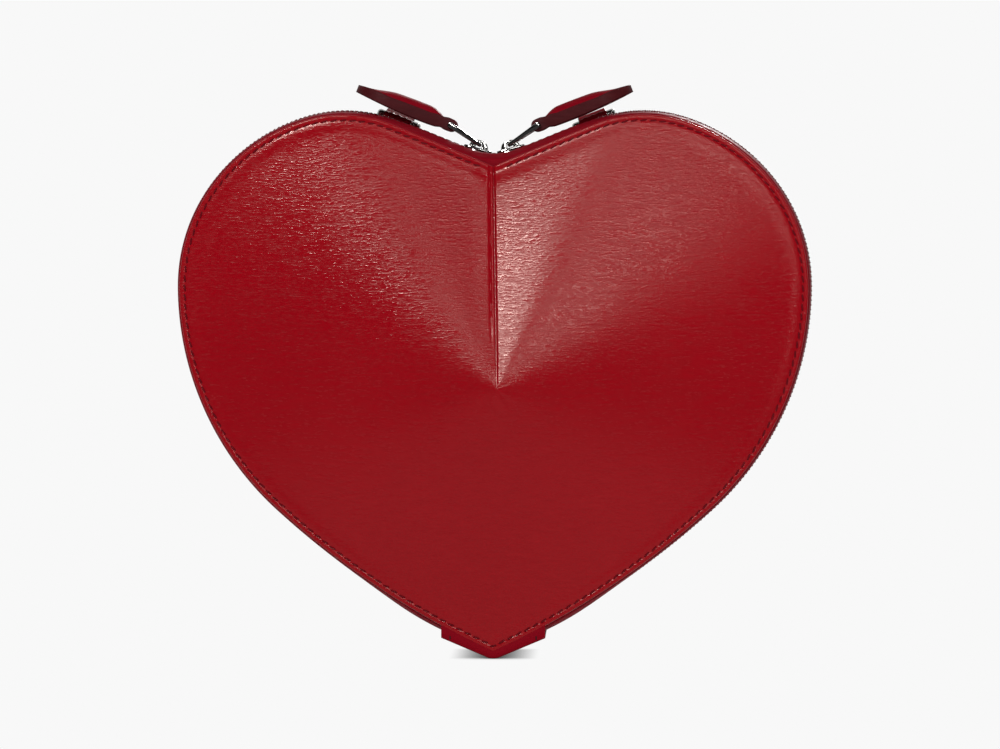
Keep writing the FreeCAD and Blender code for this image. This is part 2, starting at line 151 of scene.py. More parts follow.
class PurseZip(bpy.types.PropertyGroup):
    """Zip, sliders, links and pulls."""

    coil_pitch: size("Coil pitch", 0.00155, "From one turn of the coil to the next")
    coil_wire: size("Coil wire", 0.00062, "Diameter of the nylon of the coil")
    coil_end: size("Coil end", 0.0186, "Where the coil ends beside the tip")
    nose_gap: size("Nose gap", 0.0016, "Between the two sliders")
    slider_length: size("Slider length", 0.0095, "Length of a slider")
    link_length: size("Link length", 0.0114, "From the bridge to the leather of the pull")
    pull_fall: turn("Pull fall", 1.3, "How much flatter the pull lies than its slider")
    pull_length: size("Pull length", 0.034, "From the link to the tip of the pull")
    pull_dome: size("Pull dome", 0.0021, "Height of the padded face of the pull")


class PurseColours(bpy.types.PropertyGroup):
    """Colours of the purse."""

    leather: shade("Leather", (0.235, 0.0012, 0.0052), "Boarded leather of the panels")
    gusset: shade("Gusset", (0.185, 0.0018, 0.0075), "Smooth leather of the gusset, tabs and pulls")
    edge: shade("Edge paint", (0.050, 0.0055, 0.0072), "Burgundy paint on the cut edges")
    # Thread colour is darker than the leather: partly the thread's own darker red, partly painted shade of
    # the stitch holes
    thread: shade("Thread", (0.11, 0.0015, 0.005), "Sewing thread")
    tape: shade("Tape", (0.15, 0.002, 0.007), "Woven tape of the zip")
    coil: shade("Coil", (0.13, 0.003, 0.008), "Nylon coil of the zip")
    metal: shade("Metal", (0.34, 0.333, 0.322), "Sliders, links and rings")
    lining: shade("Lining", (0.14, 0.006, 0.012), "Lining cloth and slip pocket")
    # Board colour is darkened as painted shade: the board shows at the bottom of the dart's gap and stands
    # for the shadow there
    board: shade("Board", (0.10, 0.045, 0.035), "Dyed stiffening board")
    backdrop: shade("Backdrop", (0.939, 0.939, 0.939), "Floor and background")


class PurseStudio(bpy.types.PropertyGroup):
    """Camera and light."""

    azimuth: turn("Azimuth", 1.8, "Camera to the right of the middle of the purse")
    elevation: turn("Elevation", 2.5, "Camera above the horizon")
    picture_span: size("Picture span", 0.3333, "Width of the picture at the front seam")
    picture_x: offset("Picture x", 0.0023, "Middle of the picture, from the middle of the purse")
    picture_z: offset("Picture z", 0.0952, "Middle of the picture, above the floor")
    lens: FloatProperty(name="Lens", description="Focal length", default=140.0, subtype="DISTANCE_CAMERA")
    key_power: lamp_power("Key power", 27.0, "Softbox at the upper left")
    front_power: lamp_power("Front power", 1.0, "Slanted strip softbox in front of the purse")
    back_power: lamp_power("Back power", 22.0, "Softbox behind the purse")
    side_power: lamp_power("Side power", 2.0, "Softbox at the upper right")
    fill: share("Fill", 0.19, "Even light from all round")
    # Reach of the contact shadow that is painted into the floor's glow from ambient occlusion
    contact: size("Contact shadow", 0.0055, "Reach of the shadow under the tip")


GROUPS = {
    "purse_shape": PurseShape,
    "purse_leather": PurseLeather,
    "purse_zip": PurseZip,
    "purse_colours": PurseColours,
    "purse_studio": PurseStudio,
}


# Outline of the heart, in the X-Z plane

def heading(angle):
    return np.array([math.cos(angle), math.sin(angle)])


def bearing(centre, target):
    return math.atan2(target[1] - centre[1], target[0] - centre[0])


def smooth(low, high, value):
    t = np.clip((value - low) / (high - low), 0.0, 1.0)
    return t * t * (3.0 - 2.0 * t)


def bump(middle, width, value):
    return np.exp(-(((value - middle) / width) ** 2))


def turning_centre(start, direction, passing):
    """Centre and radius of the clockwise arc that leaves start along direction."""
    chord = passing - start
    right = np.array([direction[1], -direction[0]])
    radius = chord @ chord / (2.0 * chord @ right)
    return start + right * radius, radius


def biarc(start, start_dir, end, end_dir):
    """Two tangent arcs from start to end, as (centre, radius, first angle, last angle)."""
    chord = end - start
    lean = 2.0 * chord @ (start_dir + end_dir)
    bend = 2.0 * (1.0 - start_dir @ end_dir)
    reach = (-lean + math.sqrt(lean * lean + 4.0 * bend * chord @ chord)) / (2.0 * bend)
    meet = (start + start_dir * reach + end - end_dir * reach) / 2.0
    centre_a, radius_a = turning_centre(start, start_dir, meet)
    centre_b, radius_b = turning_centre(end, end_dir, meet)
    first = (centre_a, radius_a, bearing(centre_a, start), bearing(centre_a, meet))
    second = (centre_b, radius_b, bearing(centre_b, meet), bearing(centre_b, end))
    return [first, second]


class HeartOutline:
    """Cut edge of the panels: the arcs of its right half, from the notch to the tip."""

    def __init__(self, shape):
        self.shape = shape
        self.notch_z = shape.crown_height - shape.notch_depth
        self.apex = np.array([shape.dart_lean, self.notch_z - shape.dart_length])
        self.rim_y = -shape.seam_depth / 2.0
        notch = np.array([0.0, self.notch_z])
        top = np.array([shape.crown_spacing / 2.0, shape.crown_height])
        self.ramp_radius = shape.ramp_radius
        self.ramp_centre = notch + heading(shape.ramp_slope - math.pi / 2.0) * self.ramp_radius
        span = top - self.ramp_centre
        crown_radius = (span @ span - self.ramp_radius ** 2) / (2.0 * (span[1] - self.ramp_radius))
        crown_centre = top - np.array([0.0, crown_radius])
        crown_start = bearing(self.ramp_centre, crown_centre)
        crown_stop = math.pi / 2.0 - shape.crown_past_top
        crown_end = crown_centre + heading(crown_stop) * crown_radius
        hip = np.array([shape.heart_width / 2.0, shape.crown_height - shape.hip_drop])
        tip = np.array([0.0, shape.tip_height])
        down = np.array([0.0, -1.0])
        self.arcs = [(self.ramp_centre, self.ramp_radius, bearing(self.ramp_centre, notch), crown_start)]
        self.arcs += [(crown_centre, crown_radius, crown_start, crown_stop)]
        self.arcs += biarc(crown_end, heading(-shape.crown_past_top), hip, down)
        self.arcs += biarc(hip, down, tip, heading(math.pi + shape.tip_slope))
        self.mark_columns()
        self.lay_lane()

    def mark_columns(self):
        """Places of the panel's columns on each arc, close together beside the dart."""
        near = [0, .1, .2, .3, .42, .56, .72, .9, 1.1, 1.3, 1.5, 1.75, 2.1, 2.6, 3.2, 4.0, 5.0, 6.3]
        near = np.array(near) * MM
        step = 1.5 * MM
        self.marks = []
        for index, (_, radius, first, last) in enumerate(self.arcs):
            length = radius * abs(first - last)
            start = near[-1] if index == 0 else 0.0
            count = max(2, round((length - start) / step))
            even = np.linspace(start, length, count + 1)
            if index == 0:
                even = np.concatenate([near[:-1], even])
            if index < len(self.arcs) - 1:
                even = even[:-1]
            self.marks.append(even / length)

    def rim(self, offset):
        """Points of the right half with the outline moved outwards by offset."""
        rows = []
        for index, (centre, radius, first, last) in enumerate(self.arcs):
            moved = radius + offset
            if index == 0:
                first = math.acos(-centre[0] / moved)
            if index == len(self.arcs) - 1:
                last = -math.acos(-centre[0] / moved)
            angles = first + (last - first) * self.marks[index]
            rows.append(centre + moved * np.stack([np.cos(angles), np.sin(angles)], -1))
        return np.concatenate(rows)

    def both_sides(self, right):
        """A row over the whole heart, from the dart round the tip and back to the dart."""
        left = right[-2::-1] * np.array([-1.0, 1.0])
        return np.concatenate([right, left])

    def lay_lane(self):
        """Line of the gusset and zip, rounded in the notch, by its length from the notch."""
        shape = self.shape
        height = math.sqrt((self.ramp_radius + shape.notch_round) ** 2 - self.ramp_centre[0] ** 2)
        bend_centre = np.array([0.0, self.ramp_centre[1] + height])
        bend_angle = bearing(bend_centre, self.ramp_centre)
        runs = [(bend_centre, shape.notch_round, -math.pi / 2.0, bend_angle, -1.0)]
        for index, (centre, radius, first, last) in enumerate(self.arcs):
            runs.append((centre, radius, bend_angle + math.pi if index == 0 else first, last, 1.0))
        points, ways, lengths, passed = [], [], [], 0.0
        for centre, radius, first, last, side in runs:
            length = radius * abs(last - first)
            count = max(8, round(length / (0.25 * MM)))
            shares = np.linspace(0.0, 1.0, count, endpoint=False)
            angles = first + (last - first) * shares
            spokes = np.stack([np.cos(angles), np.sin(angles)], -1)
            points.append(centre + radius * spokes)
            ways.append(side * spokes)
            lengths.append(passed + length * shares)
            passed += length
        points.append(np.array([[0.0, shape.tip_height]]))
        ways.append(np.array([[math.sin(shape.tip_slope), -math.cos(shape.tip_slope)]]))
        lengths.append(np.array([passed]))
        self.lane_points = np.concatenate(points)
        self.lane_ways = np.concatenate(ways)
        self.lane_lengths = np.concatenate(lengths)
        self.lane_end = passed

    def lane(self, distance):
        """Points and outward directions at distances from the notch, negative on the left half."""
        far = np.abs(distance)
        side = np.where(distance < 0.0, -1.0, 1.0)
        at = [np.interp(far, self.lane_lengths, self.lane_points[:, axis]) for axis in (0, 1)]
        way = [np.interp(far, self.lane_lengths, self.lane_ways[:, axis]) for axis in (0, 1)]
        return np.stack([at[0] * side, at[1]], -1), np.stack([way[0] * side, way[1]], -1)

    def swell(self, distance):
        """How far the soft gusset stands out on the ramps, in the notch and beside the tab."""
        far = np.abs(distance)
        ramps = 1.0 * MM * (1.0 - smooth(24.0 * MM, 46.0 * MM, far))
        notch = 0.5 * MM * bump(0.0, 10.0 * MM, far)
        beside_tab = 0.9 * MM * bump(self.lane_end - 27.0 * MM, 16.0 * MM, far)
        return ramps + notch + beside_tab

    def lane_at_x(self, x):
        """Distance from the notch to the place beside the tip that is x from the middle."""
        lower = self.lane_lengths > 0.6 * self.lane_end
        return float(np.interp(-x, -self.lane_points[lower, 0], self.lane_lengths[lower]))

    def cone(self, x, z, rise):
        """Height of a cone that stands on the seam margin, at any point of the heart."""
        up = z - self.apex[1]
        ring = self.both_sides(self.rim(-self.shape.seam_margin)) - np.array([0.0, self.apex[1]])
        angles = np.unwrap(np.arctan2(ring[:, 1], ring[:, 0]))
        reach = np.hypot(ring[:, 0], ring[:, 1])
        here = np.arctan2(up, x)
        here = np.where(here > angles[0], here - 2.0 * math.pi, here)
        edge = np.interp(-here, -angles, reach)
        return rise * np.clip(1.0 - np.hypot(x, up) / edge, 0.0, 1.0)


# Meshes

class Pile:
    """Points and faces of one piece, gathered part by part."""

    def __init__(self):
        self.points = []
        self.faces = []
        self.finishes = []

    def add(self, points, faces, finish=0):
        start = len(self.points)
        self.points.extend(np.asarray(points, float).reshape(-1, 3).tolist())
        self.faces.extend([[start + int(corner) for corner in face] for face in faces])
        self.finishes.extend(finish if isinstance(finish, list) else [finish] * len(faces))

    def put(self, solid, origin, tilt):
        """Adds a solid that is drawn in its own frame."""
        points, faces = solid
        self.add(placed(points, origin, tilt), faces)

    def mirrored(self, scale):
        copy = Pile()
        copy.points = (np.array(self.points) * np.array(scale)).tolist()
        copy.faces = self.faces
        copy.finishes = self.finishes
        return copy

    def piece(self, name, finishes, sharp=PIECE_EDGE):
        mesh = bpy.data.meshes.new(name)
        mesh.from_pydata(self.points, [], self.faces)
        mesh.polygons.foreach_set("material_index", self.finishes)
        for finish in finishes:
            mesh.materials.append(finish)
        shell = bmesh.new()
        shell.from_mesh(mesh)
        bmesh.ops.recalc_face_normals(shell, faces=shell.faces[:])
        shell.to_mesh(mesh)
        shell.free()
        mesh.shade_smooth()
        mesh.set_sharp_from_angle(angle=sharp)
        piece = bpy.data.objects.new(name, mesh)
        bpy.context.scene.collection.objects.link(piece)
        return piece


def settle(piece, body, slot, *nodes):
    """Puts a finished piece on its body and hides the nodes that it stands in for."""
    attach(piece, body)
    if nodes:
        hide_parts(*nodes)


def finish_node(name, finish):
    """Gives a node of the frame its finish."""
    node = frame["nodes"][name]
    node.data.materials.clear()
    node.data.materials.append(finish)
    node.data.shade_smooth()
    node.data.set_sharp_from_angle(angle=NODE_EDGE)


def grid_faces(rows, columns, wrap_rows=False, wrap_columns=False):
    row, column = np.meshgrid(
        np.arange(rows if wrap_rows else rows - 1),
        np.arange(columns if wrap_columns else columns - 1),
        indexing="ij",
    )
    below = (row + 1) % rows
    beside = (column + 1) % columns
    corners = [row * columns + column, below * columns + column]
    corners += [below * columns + beside, row * columns + beside]
    return np.stack(corners, -1).reshape(-1, 4).tolist()


def end_caps(rows, columns):
    """Faces that close the first and the last ring of a tube."""
    return [list(range(columns)), list(range((rows - 1) * columns, rows * columns))]


def shell_faces(rows, columns, closed):
    """Faces of a sheet with thickness: its face, its back and the strips along its edges."""
    face = grid_faces(rows, columns, False, closed)
    back = rows * columns
    faces = face + [[back + corner for corner in quad] for quad in face]
    beside = [(column, (column + 1) % columns) for column in range(columns if closed else columns - 1)]
    last = (rows - 1) * columns
    rim = [[a, b, back + b, back + a] for a, b in beside]
    rim += [[last + a, last + b, back + last + b, back + last + a] for a, b in beside]
    ends = []
    if not closed:
        for column in (0, columns - 1):
            for row in range(rows - 1):
                a, b = row * columns + column, (row + 1) * columns + column
                ends.append([a, b, back + b, back + a])
    return faces, rim, ends


def lofted(rings, rounding):
    """Solid through rings of points, all of one count, with its hard edges rounded."""
    rings = np.asarray(rings, float)
    count = rings.shape[1]
    faces = grid_faces(len(rings), count, False, True) + end_caps(len(rings), count)
    solid = bmesh.new()
    corners = [solid.verts.new(point) for point in rings.reshape(-1, 3)]
    for face in faces:
        solid.faces.new([corners[index] for index in face])
    bmesh.ops.recalc_face_normals(solid, faces=solid.faces[:])
    hard = [edge for edge in solid.edges if edge.calc_face_angle(0.0) > ROUNDED_EDGE]
    bmesh.ops.bevel(
        solid, geom=hard, offset=rounding, segments=2, profile=0.5, affect="EDGES", clamp_overlap=True
    )
    solid.verts.index_update()
    points = [tuple(corner.co) for corner in solid.verts]
    faces = [[corner.index for corner in face.verts] for face in solid.faces]
    solid.free()
    return points, faces


def prism(profile, low, high, across, rounding):
    """Rounded solid of a closed profile: across is the axis that it runs along."""
    profile = np.asarray(profile, float)
    rings = []
    for level in (low, high):
        ring = np.insert(profile, 1 if across == "y" else 2, level, axis=1)
        rings.append(ring)
    return lofted(rings, rounding)


def rod(radius, start, end, rounding):
    """Round bar across the purse."""
    angles = np.linspace(0.0, 2.0 * math.pi, 20, endpoint=False)
    profile = np.stack([radius * np.cos(angles), radius * np.sin(angles)], -1)
    return prism(profile, start, end, "y", rounding)


def capsules(middles, runs, ups, length, radius, sink):
    """Stitches of thread: each bows out of the leather and dips into its holes."""
    along = np.array([-1.0, -0.94, -0.75, -0.4, 0.0, 0.4, 0.75, 0.94, 1.0])
    girth = np.array([0.05, 0.5, 0.88, 1.0, 1.0, 1.0, 0.88, 0.5, 0.05])
    around = np.linspace(0.0, 2.0 * math.pi, 7, endpoint=False)
    across = np.cross(runs, ups)
    spine = middles[:, None] + runs[:, None] * (along * length / 2.0)[None, :, None]
    spine = spine - ups[:, None] * (sink * along ** 4)[None, :, None]
    ring = across[:, None, :] * np.cos(around)[None, :, None]
    ring = ring + ups[:, None, :] * np.sin(around)[None, :, None]
    points = spine[:, :, None, :] + (radius * girth)[None, :, None, None] * ring[:, None, :, :]
    rows, columns = len(along), len(around)
    one = grid_faces(rows, columns, False, True) + end_caps(rows, columns)
    faces = []
    for index in range(len(middles)):
        start = index * rows * columns
        faces += [[start + corner for corner in face] for face in one]
    return points.reshape(-1, 3), faces


def stitch_row(line, ups, pitch, length, radius, sink, slant=0.0):
    """Stitches along a line of points, each turned a little out of the line."""
    steps = np.linalg.norm(np.diff(line, axis=0), axis=1)
    passed = np.concatenate([[0.0], np.cumsum(steps)])
    count = int(passed[-1] / pitch)
    spare = (passed[-1] - count * pitch) / 2.0
    places = spare + pitch * (np.arange(count) + 0.5)

    def at(values, where):
        return np.stack([np.interp(where, passed, values[:, axis]) for axis in range(3)], -1)

    run = at(line, places + 0.3 * pitch) - at(line, places - 0.3 * pitch)
    run /= np.linalg.norm(run, axis=1)[:, None]
    up = at(ups, places)
    up -= run * np.sum(run * up, axis=1)[:, None]
    up /= np.linalg.norm(up, axis=1)[:, None]
    across = np.cross(run, up)
    run = run * math.cos(slant) + across * math.sin(slant)
    return capsules(at(line, places), run, up, length, radius, sink)


def placed(points, origin, tilt):
    """Points drawn in a piece's own frame, moved onto the right side of the purse."""
    points = np.asarray(points, float).reshape(-1, 3)
    along, up = heading(tilt), heading(tilt + math.pi / 2.0)
    flat = origin + points[:, :1] * along + points[:, 2:] * up
    return np.stack([flat[:, 0], points[:, 1], flat[:, 1]], -1)


def swept_ring(outline, section, step):
    """Closed ring round the purse of a section given as (outwards, y, share of the swell)."""
    section = np.asarray(section, float)
    count = round(2.0 * outline.lane_end / step)
    distances = np.linspace(-outline.lane_end, outline.lane_end, count, endpoint=False)
    base, ways = outline.lane(distances)
    ways[0] = (0.0, -1.0 / math.cos(outline.shape.tip_slope))
    out = section[None, :, 0] * MM + outline.swell(distances)[:, None] * section[None, :, 2]
    flat = base[:, None] + ways[:, None] * out[..., None]
    deep = np.broadcast_to(section[:, 1] * MM, flat.shape[:2])
    points = np.stack([flat[..., 0], deep, flat[..., 1]], -1)
    return points, grid_faces(count, len(section), True, True)


def strip(path, half, thickness):
    """Leather strip along a path of (y, z), its cut edges rounded and painted."""
    path = np.asarray(path, float)
    run = np.gradient(path, axis=0)
    run /= np.linalg.norm(run, axis=1)[:, None]
    up = np.stack([-run[:, 1], run[:, 0]], -1)
    soft = 0.3 * thickness
    low, high = -thickness / 2.0, thickness / 2.0
    section = [(half - soft, high), (half, high - soft), (half, low + soft), (half - soft, low)]
    section += [(-half + soft, low), (-half, low + soft), (-half, high - soft), (-half + soft, high)]
    rows = []
    for place, way in zip(path, up):
        rows.append([(x, place[0] + way[0] * lift, place[1] + way[1] * lift) for x, lift in section])
    count = len(section)
    faces = grid_faces(len(rows), count, False, True)
    painted = (0, 1, 2, 4, 5, 6)
    finishes = [1 if index % count in painted else 0 for index in range(len(faces))]
    return np.array(rows), faces + end_caps(len(rows), count), finishes + [0, 0]


# Finishes

class Finish:
    """A material whose detail comes from the object's own coordinates, in metres."""

    made = {}

    def __init__(self, name, colour, roughness):
        self.material = bpy.data.materials.new(name)
        self.material.use_nodes = True
        self.tree = self.material.node_tree
        self.shader = self.tree.nodes["Principled BSDF"]
        self.shader.inputs["Roughness"].default_value = roughness
        self.shader.inputs["Base Color"].default_value = (*colour, 1.0)
        self.colour = tuple(colour)
        self.place = self.node("ShaderNodeTexCoord").outputs["Object"]
        Finish.made[name] = self.material

    def node(self, kind, **settings):
        node = self.tree.nodes.new(kind)
        for key, value in settings.items():
            if key in node.inputs:
                node.inputs[key].default_value = value
            else:
                setattr(node, key, value)
        return node

    def link(self, output, target):
        self.tree.links.new(output, target)

    def mapped(self, scale):
        mapping = self.node("ShaderNodeMapping")
        mapping.inputs["Scale"].default_value = scale
        self.link(self.place, mapping.inputs["Vector"])
        return mapping.outputs["Vector"]

    def noise(self, scale, detail=2.0, roughness=0.5, distortion=0.0):
        noise = self.node("ShaderNodeTexNoise", Scale=1.0, Detail=detail)
        noise.inputs["Roughness"].default_value = roughness
        noise.inputs["Distortion"].default_value = distortion
        self.link(self.mapped(scale), noise.inputs["Vector"])
        return noise.outputs["Fac"]

    def wave(self, axis, pitch):
        """Bands of a given pitch: the texture's own bands are pi / 10 apart."""
        wave = self.node("ShaderNodeTexWave", Scale=1.0, Distortion=0.0, bands_direction=axis)
        spread = math.pi / 10.0 / pitch
        self.link(self.mapped((spread, spread, spread)), wave.inputs["Vector"])
        return wave.outputs["Fac"]

    def math(self, operation, first, second):
        node = self.node("ShaderNodeMath", operation=operation)
        for index, value in enumerate((first, second)):
            if isinstance(value, (int, float)):
                node.inputs[index].default_value = value
            else:
                self.link(value, node.inputs[index])
        return node.outputs[0]

    def ranged(self, value, low, high, to_low, to_high):
        node = self.node("ShaderNodeMapRange")
        self.link(value, node.inputs["Value"])
        for key, number in zip(("From Min", "From Max", "To Min", "To Max"), (low, high, to_low, to_high)):
            node.inputs[key].default_value = number
        return node.outputs["Result"]

    def tint(self, factor, dark, light):
        """Colour between two shares of the finish's own colour."""
        mix = self.node("ShaderNodeMix", data_type="RGBA")
        self.link(factor, mix.inputs["Factor"])
        pair = [socket for socket in mix.inputs if socket.type == "RGBA"]
        for socket, level in zip(pair, (dark, light)):
            socket.default_value = (*[min(1.0, level * channel) for channel in self.colour], 1.0)
        output = [socket for socket in mix.outputs if socket.type == "RGBA"][0]
        self.link(output, self.shader.inputs["Base Color"])

    def rough(self, factor, low, high, start=0.3, end=0.7):
        """Roughness from low to high, as the factor goes from start to end."""
        self.link(self.ranged(factor, start, end, low, high), self.shader.inputs["Roughness"])

    def relief(self, height, depth):
        node = self.node("ShaderNodeBump", Strength=1.0, Distance=depth)
        self.link(height, node.inputs["Height"])
        self.link(node.outputs["Normal"], self.shader.inputs["Normal"])


def leather_finish(name, colour, grain, roughness, gloss):
    """Smooth hide with a boarded grain of fine level wrinkles."""
    finish = Finish(name, colour, roughness)
    finish.shader.inputs["Specular IOR Level"].default_value = gloss
    finish.shader.inputs["Specular Tint"].default_value = (1.0, 0.80, 0.72, 1.0)
    long_wrinkle = finish.noise((190.0, 190.0, 1350.0), 1.0, 0.45, 0.25)
    short_wrinkle = finish.noise((620.0, 620.0, 2400.0), 1.0, 0.5, 0.3)
    patches = finish.noise((24.0, 24.0, 24.0), 2.0)
    pores = finish.noise((4200.0, 4200.0, 4200.0), 1.0)
    wrinkle = finish.math("MULTIPLY", long_wrinkle, 0.6)
    wrinkle = finish.math("ADD", wrinkle, finish.math("MULTIPLY", short_wrinkle, 0.9))
    wrinkle = finish.math("MULTIPLY", wrinkle, finish.ranged(patches, 0.3, 0.7, 0.8, 1.0))
    height = finish.math("ADD", wrinkle, finish.math("MULTIPLY", pores, 0.10))
    finish.relief(height, grain)
    clouds = finish.noise((9.0, 9.0, 9.0), 3.0)
    tone = finish.math("MULTIPLY", clouds, 0.6)
    tone = finish.math("ADD", tone, finish.math("MULTIPLY", long_wrinkle, 0.4))
    finish.tint(finish.ranged(tone, 0.35, 0.65, 0.0, 1.0), 0.93, 1.06)
    finish.rough(wrinkle, roughness + 0.12, roughness - 0.04, 0.5, 0.85)


def edge_finish(name, colour):
    """Layers of edge paint, rubbed smooth."""
    finish = Finish(name, colour, 0.42)
    finish.shader.inputs["Specular IOR Level"].default_value = 0.06
    runs = finish.noise((160.0, 700.0, 700.0), 3.0)
    finish.relief(runs, 0.08 * MM)
    finish.tint(runs, 0.75, 1.35)
    finish.rough(runs, 0.36, 0.5)


def thread_finish(name, colour):
    """Twisted sewing thread with a waxed sheen, its dark colour partly its own and partly painted shade of
    the stitch holes.
    """
    finish = Finish(name, colour, 0.5)
    finish.shader.inputs["Specular IOR Level"].default_value = 0.08
    twist = finish.wave("DIAGONAL", 0.35 * MM)
    finish.relief(twist, 0.06 * MM)
    finish.tint(twist, 0.8, 1.15)
    finish.rough(twist, 0.4, 0.5)


def woven_finish(name, colour, pitch, sheen):
    """Woven cloth with warp and weft of a given pitch."""
    finish = Finish(name, colour, 0.75)
    finish.shader.inputs["Specular IOR Level"].default_value = 0.15
    finish.shader.inputs["Sheen Weight"].default_value = sheen
    warp = finish.wave("X", pitch)
    rise = finish.wave("Z", pitch)
    deep = finish.wave("Y", pitch)
    weft = finish.math("MAXIMUM", rise, deep)
    weave = finish.math("MULTIPLY", warp, weft)
    slub = finish.noise((300.0, 300.0, 2500.0), 2.0)
    height = finish.math("ADD", weave, finish.math("MULTIPLY", slub, 0.4))
    finish.relief(height, 0.2 * pitch)
    finish.tint(weave, 0.86, 1.1)
    finish.rough(slub, 0.7, 0.85)


def coil_finish(name, colour):
    """Drawn nylon, a little cloudy."""
    finish = Finish(name, colour, 0.45)
    finish.shader.inputs["Specular IOR Level"].default_value = 0.05
    clouds = finish.noise((900.0, 900.0, 900.0), 2.0)
    finish.tint(clouds, 0.8, 1.15)
    finish.rough(clouds, 0.4, 0.5)
    finish.relief(clouds, 0.03 * MM)


def metal_finish(name, colour):
    """Plated zinc, polished, with fine rubbing marks."""
    finish = Finish(name, colour, 0.14)
    finish.shader.inputs["Metallic"].default_value = 1.0
    rubs = finish.noise((300.0, 5000.0, 900.0), 3.0, 0.6)
    cloud = finish.noise((700.0, 700.0, 700.0), 2.0)
    finish.relief(rubs, 0.01 * MM)
    finish.tint(cloud, 0.86, 1.06)
    finish.rough(cloud, 0.07, 0.14)


def board_and_gap_shade_finish(name, colour):
    """Pressed fibre board, its colour darkened as painted shade where it shows at the bottom of the dart's
    gap.
    """
    finish = Finish(name, colour, 0.85)
    fibres = finish.noise((900.0, 900.0, 2600.0), 4.0, 0.65)
    finish.relief(fibres, 0.08 * MM)
    finish.tint(fibres, 0.75, 1.2)


def make_finishes(colours):
    if Finish.made:
        return Finish.made
    leather_finish("boarded_leather", colours.leather, grain=0.06 * MM, roughness=0.17, gloss=0.18)
    leather_finish("gusset_leather", colours.gusset, grain=0.05 * MM, roughness=0.50, gloss=0.025)
    edge_finish("edge_paint", colours.edge)
    thread_finish("red_thread", colours.thread)
    woven_finish("zip_tape_weave", colours.tape, pitch=0.42 * MM, sheen=0.15)
    woven_finish("lining_weave", colours.lining, pitch=0.55 * MM, sheen=0.2)
    coil_finish("coil_nylon", colours.coil)
    metal_finish("plated_metal", colours.metal)
    board_and_gap_shade_finish("fibre_board_and_gap_shade", colours.board)
    return Finish.made


# Panel surface

